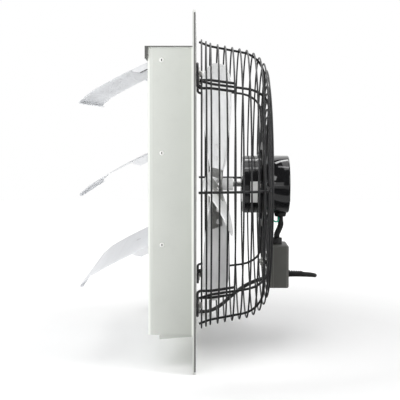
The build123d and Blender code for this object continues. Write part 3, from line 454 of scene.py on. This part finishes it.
def louver_shades_and_slots(number, tint):
    """Darker places of a louver: painted shade on its end flanges, then the first one's painted
    shadow line or the others' slot.
    """
    own = (pivot_place(number), louver_tilt)
    # painted shade: the end flanges are darker than the louver
    flanges = [(shade(tint, 0.8), *own, (0, side * flange_side, 0), (1, flange_half_sheet, 1))
               for side in (-1, 1)]
    # the first louver's painted shadow line, or the others' tab slot
    return [*flanges, (slot_and_shadow_black, *own, *(flange_shadow_line if number == 1 else tab_slot))]


def louver_aluminium(number, tint):
    """The finish of one louver: matt rolled aluminium with its own marks and painted shade."""
    return rolled(f"louver_{number}_aluminium", tint, stretch=(1, 0.04, 1), rough=0.45, metal=0.0,
                  grain=0.000002, strength=0.8, marks=louver_shades_and_slots(number, tint), mirror=0.15)


def make_finishes(tints):
    """Every finish of the fan, by the name of its slot in the record or of its use."""
    pin_marks = [(slot_and_shadow_black, pivot_place(number), 0, *pin_slot) for number in louver_numbers]
    return {
        # the panel: grey rim edges of cut metal and painted shade, and painted shade along its rim
        # bend
        "panel_paint": painted("panel_paint", tints.panel, gloss=0.36,
                               edges=(("Y", panel_edge), ("Z", panel_edge)),
                               edge_back=panel_edge_back, bends=panel_bend_shade),
        # the hood: its end lips are grey, cut metal and painted shade
        "hood_paint": painted("hood_paint", tints.housing, gloss=0.36, edges=(("Y", hood_edge),)),
        # the housing's walls: painted shade, darker downwards and towards the wall
        "housing_paint": painted("housing_paint", tints.housing, gloss=0.36, slope=0.14,
                                 bends=housing_bend_highlights_and_shade),
        **{f"louver_{number}_aluminium": louver_aluminium(number, tints.louver)
           for number in louver_numbers},
        "pin_bright": rolled("pin_bright", (0.97, 0.97, 0.95), stretch=(1, 1, 1), rough=0.4,
                             metal=0.0, grain=0.000004, strength=0.3, marks=pin_marks),
        "zinc_steel": plated("zinc_steel", tints.zinc),
        "nylon": soft("nylon", (0.72, 0.70, 0.62), rough=0.5),
        "guard_black": powder("guard_black", tints.guard, rough=0.34),
        "blade_aluminium": rolled("blade_aluminium", tints.blade, stretch=(1, 1, 0.5), rough=0.36,
                                  metal=0.05, strength=1.5),
        "shaft_steel": rolled("shaft_steel", (0.50, 0.50, 0.50), stretch=(1, 30, 30), rough=0.22,
                              metal=1.0),
        "motor_black": powder("motor_black", tints.motor, rough=0.12, grain=0.000001, coat=0.7,
                              uneven=0.08),
        "lamination_steel": stacked("lamination_steel", (0.10, 0.10, 0.11)),
        "copper": wound("copper", (0.55, 0.20, 0.07)),
        # the junction box, with painted highlight lines on its front
        "box_olive": painted("box_olive", tints.box, gloss=0.42, peel=0.00004, dirt=0.2,
                             bends=box_edge_highlights),
        "rubber_black": soft("rubber_black", tints.rubber),
        "gland_plastic": soft("gland_plastic", (0.018, 0.018, 0.018), rough=0.48),
        "cord_black": soft("cord_black", tints.rubber, rough=0.55),
        "plug_black": soft("plug_black", (0.016, 0.016, 0.016), rough=0.5),
        "plug_brass": rolled("plug_brass", (0.60, 0.42, 0.16), stretch=(1, 1, 20), rough=0.24,
                             metal=1.0),
        "ground_green": soft("ground_green", tints.ground, rough=0.36),
        "capacitor_shell": soft("capacitor_shell", (0.02, 0.02, 0.022), rough=0.42),
        "connector_yellow": soft("connector_yellow", (0.70, 0.42, 0.02), rough=0.4),
        "label_white": painted("label_white", (0.64, 0.64, 0.63), gloss=0.5, peel=0.00001,
                               dirt=0.06),
        "tie_black": soft("tie_black", (0.02, 0.02, 0.02), rough=0.4),
    }


# The finishes by name, once the stage's operator has made them
shop = {}


# Meshes

merge_gap = 0.000002


def mesh_object(name, verts, faces=(), edges=()):
    """A new object with a mesh of these points, at the origin."""
    mesh = bpy.data.meshes.new(name)
    mesh.from_pydata([tuple(spot) for spot in verts], list(edges), list(faces))
    mesh.update()
    made = bpy.data.objects.new(name, mesh)
    bpy.context.scene.collection.objects.link(made)
    return made


def baked(made):
    """The object with its modifiers turned into its mesh."""
    graph = bpy.context.evaluated_depsgraph_get()
    mesh = bpy.data.meshes.new_from_object(made.evaluated_get(graph))
    made.modifiers.clear()
    old = made.data
    made.data = mesh
    mesh.name = made.name
    bpy.data.meshes.remove(old)
    return made


def mended(made, outwards=False):
    """The object with its doubled points merged and, where asked, its faces turned outwards."""
    shape = bmesh.new()
    shape.from_mesh(made.data)
    bmesh.ops.remove_doubles(shape, verts=shape.verts, dist=merge_gap)
    if outwards:
        bmesh.ops.recalc_face_normals(shape, faces=shape.faces)
    shape.to_mesh(made.data)
    shape.free()
    return made


def smoothed(made, angle=32):
    """Shades an object smooth, with its edges kept sharp past an angle in degrees."""
    made.data.shade_smooth()
    made.data.set_sharp_from_angle(angle=radians(angle))


def settle(made, finish, replaced, body=None):
    """Rides a finished piece on its body, in place of the CAD nodes that it stands for."""
    body = body or nodes[replaced[0]]["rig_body"]
    made.data.materials.clear()
    made.data.materials.append(finish)
    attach(made, body)
    if replaced:
        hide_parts(*replaced)
    return made


def dressed(node, angle=32, finish=None):
    """A merged copy of a CAD node, in its place, with smooth curves and sharp edges."""
    made = mesh_object(f"{node}_skin", [])
    made.data = nodes[node].data.copy()
    smoothed(mended(made), angle)
    return settle(made, shop[finish or slot_of[node]], [node])


def bare(node):
    """Gives a CAD node its finish and leaves its mesh alone."""
    mesh = nodes[node].data
    mesh.materials.clear()
    mesh.materials.append(shop[slot_of[node]])


def lathe(name, profile, steps):
    """A hollow shape turned about the fan's axis from its closed outline of (depth, radius)."""
    verts, faces = [], []
    for step in range(steps):
        turn = 2 * pi * step / steps
        verts += [(depth, radius * cos(turn), radius * sin(turn)) for depth, radius in profile]
    count = len(profile)
    for step in range(steps):
        here, there = step * count, (step + 1) % steps * count
        for spot in range(count):
            after = (spot + 1) % count
            faces.append((here + spot, here + after, there + after, there + spot))
    return mended(mesh_object(name, verts, faces), outwards=True)


def rounded(points, radii, steps=8):
    """A line of straight runs joined by arcs, as points."""
    spots = [Vector(point) for point in points]
    line = [spots[0]]
    for before, here, after, radius in zip(spots, spots[1:], spots[2:], radii):
        first = (here - before).normalized()
        last = (after - here).normalized()
        turn = first.angle(last)
        start = here - first * (radius * tan(turn / 2))
        inward = (last - first * cos(turn)) / sin(turn)
        middle = start + inward * radius
        for step in range(steps + 1):
            part = turn * step / steps
            line.append(middle - inward * (radius * cos(part)) + first * (radius * sin(part)))
    line.append(spots[-1])
    return line


def spaced(line, steps):
    """Points evenly spaced along a line of short runs, ends included."""
    runs = [(after - before).length for before, after in zip(line, line[1:])]
    whole = sum(runs)
    spots, place, done = [], 0, 0.0
    for step in range(steps + 1):
        target = whole * step / steps
        while place < len(runs) - 1 and done + runs[place] < target:
            done += runs[place]
            place += 1
        share = (target - done) / runs[place]
        spots.append(line[place].lerp(line[place + 1], min(1, max(0, share))))
    return spots


# Geometry node trees


class Growth(Tree):
    """A geometry node tree that ends in Realize Instances and Set Material."""

    def __init__(self, name, sizes):
        self.tree = bpy.data.node_groups.new(name, "GeometryNodeTree")
        sockets = self.tree.interface
        sockets.new_socket("Geometry", in_out="INPUT", socket_type="NodeSocketGeometry")
        sockets.new_socket("Geometry", in_out="OUTPUT", socket_type="NodeSocketGeometry")
        self.keys = {}
        for label, (kind, value) in sizes.items():
            socket = sockets.new_socket(label, in_out="INPUT", socket_type=kind)
            if value is not None:
                socket.default_value = value
            self.keys[label] = socket.identifier
        self.source = self.tree.nodes.new("NodeGroupInput")

    def size(self, label):
        """One of the tree's own inputs."""
        return self.source.outputs[label]

    def end(self, shape):
        """Closes the tree after the last shape."""
        whole = self.node("GeometryNodeRealizeInstances", Geometry=shape)
        smooth = self.node("GeometryNodeSetShadeSmooth", Geometry=whole)
        coated = self.node("GeometryNodeSetMaterial", Geometry=smooth, Material=self.size("Finish"))
        self.node("NodeGroupOutput", None, coated)

    def grow(self, made, **values):
        """Runs the tree on an object's mesh and keeps the result as a plain mesh."""
        modifier = made.modifiers.new("growth", "NODES")
        modifier.node_group = self.tree
        for label, value in values.items():
            modifier[self.keys[label.replace("_", " ")]] = value
        return baked(made)


def ring_growth():
    """Round rings of wire about the fan's axis, one at each point, as large as the point says."""
    tree = Growth("wire_rings", {
        "Wire Radius": ("NodeSocketFloat", 0.0015),
        "Ring Steps": ("NodeSocketInt", 128),
        "Wire Sides": ("NodeSocketInt", 12),
        "Finish": ("NodeSocketMaterial", None),
    })
    circle = tree.node("GeometryNodeCurvePrimitiveCircle", Resolution=tree.size("Ring Steps"),
                       Radius=1.0)
    radius = tree.node("GeometryNodeInputNamedAttribute", {"data_type": "FLOAT"},
                       Name="ring_radius")
    size = tree.node("ShaderNodeCombineXYZ", X=radius, Y=radius, Z=radius)
    turn = tree.node("FunctionNodeEulerToRotation", Euler=(0, pi / 2, 0))
    rings = tree.node("GeometryNodeInstanceOnPoints", Points=tree.size("Geometry"), Instance=circle,
                      Rotation=turn, Scale=size)
    lines = tree.node("GeometryNodeRealizeInstances", Geometry=rings)
    section = tree.node("GeometryNodeCurvePrimitiveCircle", Resolution=tree.size("Wire Sides"),
                        Radius=tree.size("Wire Radius"))
    tree.end(tree.node("GeometryNodeCurveToMesh", Curve=lines, Profile_Curve=section))
    return tree


def wire_growth():
    """A wire along a line, repeated at even turns about the fan's axis."""
    tree = Growth("wires_round_axis", {
        "Wire Radius": ("NodeSocketFloat", 0.0019),
        "Wire Sides": ("NodeSocketInt", 14),
        "Count": ("NodeSocketInt", 8),
        "First Turn": ("NodeSocketFloat", 0.0),
        "Finish": ("NodeSocketMaterial", None),
    })
    line = tree.node("GeometryNodeMeshToCurve", Mesh=tree.size("Geometry"))
    section = tree.node("GeometryNodeCurvePrimitiveCircle", Resolution=tree.size("Wire Sides"),
                        Radius=tree.size("Wire Radius"))
    wire = tree.node("GeometryNodeCurveToMesh", Curve=line, Profile_Curve=section, Fill_Caps=True)
    spots = tree.node("GeometryNodePoints", Count=tree.size("Count"))
    index = tree.node("GeometryNodeInputIndex")
    share = tree.node("ShaderNodeMath", {"operation": "DIVIDE"}, index, tree.size("Count"))
    turn = tree.node("ShaderNodeMath", {"operation": "MULTIPLY_ADD"}, share, 2 * pi,
                     tree.size("First Turn"))
    angles = tree.node("ShaderNodeCombineXYZ", X=turn)
    rotation = tree.node("FunctionNodeEulerToRotation", Euler=angles)
    tree.end(tree.node("GeometryNodeInstanceOnPoints", Points=spots, Instance=wire,
                       Rotation=rotation))
    return tree


def line_object(name, points):
    """An object whose mesh is one open line."""
    return mesh_object(name, points, edges=[(step, step + 1) for step in range(len(points) - 1)])


# Guard's line, as the CAD source has it

guard_corners = [(0.010, 0.2300), (0.024, 0.2245), (0.115, 0.20721), (0.115, 0.057)]
guard_bend = 0.045
guard_rib_bend = 0.0423
guard_inset = 0.00405
guard_rib_count = 8
guard_ring_sides = 32
foot_count = 4
foot_leg_depth = 0.058
foot_plane = 0.0038
foot_reach = 0.257
foot_half_gap = 0.0086
foot_bend = 0.006
foot_leg_bend = 0.058
foot_loop_play = 0.00005
side_ring_steps = 10
back_ring_count = 9
mouth_ring_count = 2


def offset_line(points, distance):
    """The mitred copy of a flat line, a distance to its left."""
    spots = [Vector(point) for point in points]
    steps = [(after - before).normalized() for before, after in zip(spots, spots[1:])]
    sides = [Vector((-step.y, step.x)) for step in steps]
    copy = [spots[0] + sides[0] * distance]
    for spot, before, after in zip(spots[1:], sides, sides[1:]):
        mitre = (before + after).normalized()
        copy.append(spot + mitre * (distance / mitre.dot(before)))
    copy.append(spots[-1] + sides[-1] * distance)
    return copy


def ring_spots():
    """Ring places as (depth, radius): the mouth's, the side's and the back's."""
    mouth, shoulder = [Vector(corner) for corner in guard_corners[:2]]
    flare = [shoulder.lerp(mouth, (step + 1) / mouth_ring_count)
             for step in range(mouth_ring_count)]
    line = rounded([(*corner, 0) for corner in guard_corners[1:]], [guard_bend], steps=40)
    side = [spot.to_2d() for spot in spaced(line[:-1], side_ring_steps)]
    inner = guard_corners[-1][1]
    pitch = (line[-2].y - inner) / back_ring_count
    back = [Vector((guard_corners[-1][0], inner + pitch * step)) for step in range(back_ring_count)]
    return flare, side, back


# Studio

image_pixels = 400
camera_sensor = 36
floor_height = -0.255
floor_half = 6
backdrop_away, backdrop_top, backdrop_half = 3.2, 4.5, 5.5
studio_level, studio_seen, backdrop_mirrored, sky_mirrored = 0.66, 0.34, 0.34, -0.62
mirror_black = (0.02, 0.02, 0.02, 1)

# The floor's tones: each has a reach along which it grows and its level for one kind of ray
fade_reach, fade_seen = (0.45, 1.1), 0.40
outdoor_reach, outdoor_seen, outdoor_bounced = (0.05, -0.10), 0.12, 1.1
floor_bounced = 0.15
band_start, band_end, band_mirrored = (0.08, 0.10), (0.25, 0.29), 0.45
far_reach, far_mirrored = (0.60, 0.75), 0.35
behind_reach, behind_mirrored = (0.0, -0.1), 0.2
dull_start, dull_end, dull_share = (0.05, 0.15), (0.8, 1.1), 0.6

# Soft boxes: name, place, size, power, whether it lights, whether it is mirrored
lamps = [
    ("key", (-0.9, -2.2, 1.6), (1.6, 1.6), 2.9, True, False),
    ("top", (-0.3, -0.9, 1.0), (0.8, 0.8), 3.6, True, True),
    ("low", (-2.2, -0.9, 0.05), (1.2, 0.5), 1, True, True),
    ("fill", (1.9, -1.9, 0.1), (1.8, 0.7), 3, True, True),
    ("side", (2.3, -1.1, 0.7), (1.0, 1.0), 9, True, True),
    ("near", (0.09, -0.277, 0.05), (0.05, 0.36), 0.3, True, False),
    ("overhead", (0.1, 0.0, 1.90), (2.0, 1.46), 12, True, True),
    ("strip_back", (0.3, 0.90, 1.80), (2.2, 0.30), 11, False, True),
    ("strip_front", (0.3, -0.64, 1.85), (2.2, 0.22), 4, False, True),
]


class FAN_OT_stage(bpy.types.Operator):
    """Mixes the finishes and makes the camera, the floor, the backdrop and the lights"""

    bl_idname = "fan.stage"
    bl_label = "Stage"

    def execute(self, context):
        scene = context.scene
        shop.update(make_finishes(scene.fan_colours))
        self.camera(scene)
        side, low = floor_half, floor_height
        self.plane("floor", [(-side, -side, low), (side, -side, low), (side, side, low),
                             (-side, side, low)], self.floor_finish(scene.fan_colours.floor))
        side, away, top = backdrop_half, backdrop_away, backdrop_top
        white = Finish("backdrop_white")
        white.set(Base_Color=black, Roughness=1, Specular_IOR_Level=0, Emission_Strength=1,
                  Emission_Color=lit(white, studio_level, studio_seen, backdrop_mirrored))
        self.plane("backdrop", [(-side, away, low), (side, away, low), (side, away, top),
                                (-side, away, top)], white)
        for lamp in lamps:
            self.lamp(*lamp)
        sky = Sky(scene)
        sky.set(Color=(1, 1, 1, 1), Strength=lit(sky, studio_level, studio_seen, sky_mirrored))
        return {"FINISHED"}

    def camera(self, scene):
        """The camera, where the photograph's stood."""
        stand = scene.fan_stage
        lens = bpy.data.cameras.new("camera")
        lens.sensor_width = camera_sensor
        lens.lens = lens.sensor_width * stand.focal_pixels / image_pixels
        camera = bpy.data.objects.new("camera", lens)
        camera.location = (stand.side, -stand.distance, stand.height)
        camera.rotation_euler = (pi / 2 - stand.dip, 0, 0)
        scene.collection.objects.link(camera)
        scene.camera = camera

    def plane(self, name, corners, made):
        """A flat piece of the stage in its finish."""
        flat = mesh_object(name, corners, [(0, 1, 2, 3)])
        flat.data.materials.append(made.material)

    def floor_finish(self, tint):
        """White that fades near the fan, and that black enamel mirrors as dark with pale bands."""
        made = Finish("floor_white")
        seen, mirrored, bounced = ray_kinds(made, "Camera", "Glossy", "Diffuse")
        away = made.node("ShaderNodeVectorMath", {"operation": "LENGTH"}, made.place)
        front = made.along("Y") * -1
        outdoors = made.spread(made.along("X"), *outdoor_reach)
        band = made.spread(front, *band_start) * made.spread(front, *band_end, 1, 0)
        far = made.spread(front, *far_reach) * far_mirrored
        behind = made.spread(front, *behind_reach) * behind_mirrored
        dull = made.spread(front, *dull_start) * made.spread(front, *dull_end, 1, 0)
        fade = made.spread(made.out(away, "Value"), *fade_reach, 0, fade_seen)
        glow = seen * (fade + outdoors * outdoor_seen)
        glow = glow + mirrored * (band * band_mirrored + far + behind)
        glow = glow + bounced * (outdoors * outdoor_bounced + floor_bounced)
        dark = mirrored + dull * bounced * dull_share
        made.set(Base_Color=made.blend(dark, shade(tint, 1), mirror_black),
                 Roughness=0.9, Specular_IOR_Level=0.1, Emission_Color=glow, Emission_Strength=1)
        return made

    def lamp(self, name, place, size, power, lights, mirrored):
        """A soft box that faces the fan; it can light without a reflection, or only be mirrored."""
        light = bpy.data.lights.new(name, "AREA")
        light.shape = "RECTANGLE"
        light.size, light.size_y = size
        light.energy = power
        made = bpy.data.objects.new(name, light)
        made.location = place
        made.rotation_euler = Vector(place).to_track_quat("Z", "Y").to_euler()
        made.visible_camera = False
        made.visible_diffuse = lights
        made.visible_glossy = mirrored
        bpy.context.scene.collection.objects.link(made)


# Supply cord, with the route that the CAD source has

cord_route = [
    (0.1518, 0.0, -0.145), (0.17065, 0.0, -0.145), (0.18735, 0.00965, -0.1476),
    (0.197, 0.02635, -0.1516), (0.197, 0.04565, -0.154), (0.18735, 0.06235, -0.1556),
    (0.17065, 0.072, -0.1565), (0.151, 0.077, -0.1574), (0.131, 0.092, -0.1615),
    (0.107, 0.115, -0.171), (0.084, 0.144, -0.186), (0.063, 0.177, -0.208),
    (0.043, 0.211, -0.233), (0.022, 0.243, -0.248), (0.005, 0.27, -0.2517),
    (-0.0038, 0.292, -0.2515), (-0.0045, 0.312, -0.2517),
]
cord_tail = [
    (-0.0045, 0.312, -0.2445), (-0.0047, 0.327, -0.2447), (-0.009, 0.344, -0.2456),
    (-0.017, 0.360, -0.2456),
]
coil_middle = Vector((-0.046, 0.312, -0.2517))
coil_radius = 0.0415
coil_pitch = 0.0072
coil_layer_turns = 2.25
coil_climb_turns = 0.5
coil_points_per_turn = 16
relief_ribs = 6
relief_pitch = 0.0036
relief_play = 0.0003
relief_end_play = 0.0006
relief_lip = 0.0005
relief_step = 0.0004
relief_rib_shares = (0.55, 0.6, 0.95)
relief_shank = 0.003
tie_turn = radians(150)
tie_half_width = 0.0021
tie_sheet = 0.0007
tie_bend = 0.003
tie_play = 0.0040
tie_low = -0.00325
tie_seam = 0.0001


def coil_point(turns):
    """A point on the coil's centre line, after a number of turns from its start."""
    whole = 2 * coil_layer_turns + coil_climb_turns
    inward = turns if turns <= whole / 2 else whole - turns
    radius = coil_radius - coil_pitch * inward
    rise = min(max((turns - coil_layer_turns) / coil_climb_turns, 0), 1)
    height = coil_pitch * (1 - cos(pi * rise)) / 2
    turn = 2 * pi * turns
    return coil_middle + Vector((radius * cos(turn), radius * sin(turn), height))


class FAN_OT_cord(bpy.types.Operator):
    """Makes the supply cord, its strain relief, the tie of its coil and the plug"""

    bl_idname = "fan.cord"
    bl_label = "Supply cord"

    def execute(self, context):
        sizes = context.scene.fan_sizes
        steps = round(coil_points_per_turn * (2 * coil_layer_turns + coil_climb_turns))
        coil = [coil_point(step / coil_points_per_turn) for step in range(1, steps)]
        points = [*cord_route, *coil, *cord_tail]
        curve = bpy.data.curves.new("supply_cord_line", "CURVE")
        curve.dimensions = "3D"
        spline = curve.splines.new("NURBS")
        spline.points.add(len(points) - 1)
        for spot, point in zip(spline.points, points):
            spot.co = (*point, 1)
        spline.order_u = 3
        spline.use_endpoint_u = True
        curve.resolution_u = 6
        curve.bevel_depth = sizes.cord_wire / 2
        curve.bevel_resolution = 4
        curve.use_fill_caps = True
        cord = bpy.data.objects.new("supply_cord_line", curve)
        context.scene.collection.objects.link(cord)
        settle(cord, shop["cord_black"], ["supply_cord", "cord_coil", "cord_tail"])

        pieces = [self.relief(sizes), dressed("plug_body"), dressed("plug_blades"), self.tie()]
        return {"FINISHED"}

    def relief(self, sizes):
        """The tapered strain relief: a stack of rings that get smaller along the cord."""
        start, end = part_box("cord_collar")
        depth = start.x
        core = sizes.cord_wire / 2 + relief_play
        first = (end.z - start.z) / 2
        shank = depth + relief_shank
        profile = [(depth, core), (depth, first)]
        for rib in range(relief_ribs):
            here = shank + relief_pitch * rib
            outer = first - (first - core - relief_end_play) * (rib + 1) / relief_ribs
            rim, groove, groove_end = [here + relief_pitch * share for share in relief_rib_shares]
            profile += [(here, outer + relief_step), (rim, outer), (groove, core + relief_play),
                        (groove_end, core + relief_play)]
        tip = shank + relief_pitch * relief_ribs
        profile += [(tip, core + relief_lip), (tip, core)]
        made = lathe("cord_relief", profile, steps=40)
        made.data.transform(Matrix.Translation((0, 0, cord_route[0][2])))
        smoothed(made, 40)
        return settle(made, shop["rubber_black"], ["cord_collar"])

    def tie(self):
        """A flat tie round the coil's turns, on the side away from the cord's exit."""
        turns = coil_layer_turns + coil_climb_turns / 2
        middle = coil_radius - coil_pitch * turns / 2
        half_wide = coil_pitch * turns / 2 + tie_play
        high = coil_pitch + tie_play
        corners = [(-half_wide, 0, 0), (-half_wide, 0, high), (half_wide, 0, high),
                   (half_wide, 0, tie_low), (-half_wide, 0, tie_low), (-half_wide, 0, tie_seam)]
        ring = rounded(corners, [tie_bend] * 4, steps=6)[:-1]
        verts, faces = [], []
        for spot in ring:
            outward = Vector((spot.x / half_wide, 0, (spot.z - coil_pitch / 2) / high)).normalized()
            for side in (-tie_half_width, tie_half_width):
                edge = spot + Vector((0, side, 0))
                verts += [edge, edge - outward * tie_sheet]
        for step in range(len(ring)):
            here, there = 4 * step, 4 * ((step + 1) % len(ring))
            faces += [(here, here + 2, there + 2, there),
                      (here + 1, there + 1, there + 3, here + 3),
                      (here, there, there + 1, here + 1),
                      (here + 2, here + 3, there + 3, there + 2)]
        made = mesh_object("coil_tie", verts, faces)
        turned = Matrix.Rotation(tie_turn, 4, "Z") @ Matrix.Translation((middle, 0, 0))
        made.data.transform(Matrix.Translation(coil_middle) @ turned)
        smoothed(mended(made, outwards=True), 40)
        return settle(made, shop["tie_black"], [], "frame")


class FAN_OT_panel(bpy.types.Operator):
    """Dresses the mounting panel"""

    bl_idname = "fan.panel"
    bl_label = "Mounting panel"

    def execute(self, context):
        dressed("mounting_panel")
        return {"FINISHED"}


class FAN_OT_housing(bpy.types.Operator):
    """Dresses the shutter housing and its pins"""

    bl_idname = "fan.housing"
    bl_label = "Shutter housing"

    def execute(self, context):
        dressed("top_hood", angle=8, finish="hood_paint")
        for node in ("housing_side_near", "housing_side_far", "bottom_plate"):
            dressed(node, angle=8)
        dressed("pivot_pins", finish="pin_bright")
        for node in ("pivot_bushings", "tie_bar"):
            dressed(node)
        return {"FINISHED"}


class FAN_OT_louvers(bpy.types.Operator):
    """Dresses the three louvers and their tie pins"""

    bl_idname = "fan.louvers"
    bl_label = "Louvers"

    def execute(self, context):
        for number in louver_numbers:
            dressed(f"louver_{number}", angle=25, finish=f"louver_{number}_aluminium")
            dressed(f"tie_pin_{number}")
        return {"FINISHED"}


class FAN_OT_guard(bpy.types.Operator):
    """Grows the wire guard: its rings, ribs and looped feet"""

    bl_idname = "fan.guard"
    bl_label = "Wire guard"

    def execute(self, context):
        sizes = context.scene.fan_sizes
        coat = shop["guard_black"]
        rings = ring_growth()
        places = zip(("guard_mouth_rings", "guard_side_rings", "guard_back_rings"), ring_spots())
        for node, spots in places:
            made = mesh_object(f"{node}_wire", [(spot.x, 0, 0) for spot in spots])
            radii = made.data.attributes.new("ring_radius", "FLOAT", "POINT")
            radii.data.foreach_set("value", [spot.y for spot in spots])
            rings.grow(made, Wire_Radius=sizes.ring_wire / 2, Finish=coat)
            settle(made, coat, [node])

        wires = wire_growth()
        corners = [Vector(corner) for corner in guard_corners]
        corners[0] += (corners[0] - corners[1]).normalized() * sizes.ring_wire
        line = [(spot.x, 0, spot.y) for spot in offset_line(corners, -guard_inset)]
        made = line_object("guard_ribs_wire", rounded(line, [guard_bend, guard_rib_bend], steps=12))
        wires.grow(made, Wire_Radius=sizes.rib_wire / 2, Count=guard_rib_count, Finish=coat)
        settle(made, coat, ["guard_ribs"])

        made = line_object("guard_feet_wire", self.foot_line(sizes))
        wires.grow(made, Wire_Radius=sizes.foot_wire / 2, Count=foot_count,
                   First_Turn=pi / foot_count, Finish=coat)
        settle(made, coat, ["guard_feet"])
        for node in ("foot_screws", "foot_washers"):
            dressed(node)
        return {"FINISHED"}

    def foot_line(self, sizes):
        """The line of one foot: up the guard, out along the panel, round its screw and back."""
        (shoulder, shoulder_radius), (corner, corner_radius) = guard_corners[1:3]
        slope = (shoulder_radius - corner_radius) / (corner - shoulder)
        drop = shoulder_radius * (1 - cos(pi / guard_ring_sides))
        inset = guard_inset + (sizes.foot_wire - sizes.rib_wire + drop) / 2
        rise = shoulder_radius - inset
        leg = [(foot_leg_depth, rise - slope * (foot_leg_depth - shoulder)), (shoulder, rise),
               (foot_plane, rise), (foot_plane, foot_reach)]
        there = [(depth, foot_half_gap, radius) for depth, radius in leg]
        back = [(depth, -foot_half_gap, radius) for depth, radius in reversed(leg)]
        loop = foot_half_gap - foot_loop_play
        bends = [foot_leg_bend, foot_bend, loop, loop, foot_bend, foot_leg_bend]
        return rounded(there + back, bends)


class FAN_OT_fan(bpy.types.Operator):
    """Dresses the blades, their spider, the hub and the shaft"""

    bl_idname = "fan.fan"
    bl_label = "Fan"

    def execute(self, context):
        for number in (1, 2, 3, 4):
            dressed(f"fan_blade_{number}", angle=40)
        for node in ("blade_spider", "blade_rivets", "fan_hub", "hub_set_screw", "fan_shaft"):
            dressed(node)
        return {"FINISHED"}


# The motor's blank label: its depths, radius and sheet, and its first and last turn in degrees

label_front, label_back = 0.087, 0.0984
label_radius, label_sheet = 0.046, 0.00015
label_first, label_last, label_steps = -35.8, 8.0, 16


class FAN_OT_motor(bpy.types.Operator):
    """Dresses the motor and its mounting plate"""

    bl_idname = "fan.motor"
    bl_label = "Motor"

    def execute(self, context):
        for node in ("motor_front_bell", "motor_rear_bell", "mount_plate", "mount_screws",
                     "mount_nuts"):
            dressed(node)
        self.label()
        for node in ("stator_core", "windings", "rotor_core", "front_bearing", "rear_bearing"):
            bare(node)
        return {"FINISHED"}

    def label(self):
        """A blank white label, curved round the front bell's side that faces the camera."""
        outer = label_radius + label_sheet
        section = ((label_front, label_radius), (label_front, outer), (label_back, outer),
                   (label_back, label_radius))
        verts, faces = [], []
        for step in range(label_steps + 1):
            turn = radians(label_first + (label_last - label_first) * step / label_steps)
            verts += [(depth, -out * cos(turn), out * sin(turn)) for depth, out in section]
        for step in range(label_steps):
            for side, after in ((0, 1), (1, 2), (2, 3), (3, 0)):
                here, there = 4 * step, 4 * step + 4
                faces.append((here + side, here + after, there + after, there + side))
        faces += [(0, 1, 2, 3), tuple(4 * label_steps + side for side in (3, 2, 1, 0))]
        made = mesh_object("motor_label", verts, faces)
        smoothed(made)
        settle(made, shop["label_white"], [], "frame")


class FAN_OT_wiring(bpy.types.Operator):
    """Dresses the junction box, the motor's lead and the ground wire"""

    bl_idname = "fan.wiring"
    bl_label = "Wiring"

    def execute(self, context):
        for node in ("junction_box", "box_back_plate", "box_clamp", "box_screws", "lead_grommet",
                     "motor_lead", "cable_gland", "ground_wire", "ground_lug", "ground_screw"):
            dressed(node)
        for node in ("run_capacitor", "wire_connectors"):
            bare(node)
        return {"FINISHED"}


class FAN_PT_panel(bpy.types.Panel):
    """Lists the fan's colours, sizes and pieces"""

    bl_idname = "FAN_PT_panel"
    bl_label = "Shutter exhaust fan"
    bl_space_type = "VIEW_3D"
    bl_region_type = "UI"
    bl_category = "Fan"

    def draw(self, context):
        scene = context.scene
        for group in (scene.fan_colours, scene.fan_sizes, scene.fan_stage):
            for name in group.__annotations__:
                self.layout.prop(group, name)
        for operator in operators:
            self.layout.operator(operator.bl_idname)


groups = {"fan_colours": FanColours, "fan_sizes": FanSizes, "fan_stage": FanStage}
operators = (FAN_OT_stage, FAN_OT_cord, FAN_OT_panel, FAN_OT_housing, FAN_OT_louvers, FAN_OT_guard,
             FAN_OT_fan, FAN_OT_motor, FAN_OT_wiring)


def register():
    for kind in (*groups.values(), *operators, FAN_PT_panel):
        bpy.utils.register_class(kind)
    for name, group in groups.items():
        setattr(bpy.types.Scene, name, bpy.props.PointerProperty(type=group))


def unregister():
    for name in groups:
        delattr(bpy.types.Scene, name)
    for kind in reversed((*groups.values(), *operators, FAN_PT_panel)):
        bpy.utils.unregister_class(kind)


def main():
    """Makes the whole scene."""
    register()
    bpy.context.scene.view_settings.view_transform = "Standard"
    for operator in operators:
        package, name = operator.bl_idname.split(".")
        getattr(getattr(bpy.ops, package), name)()


if __name__ == "__main__":
    main()
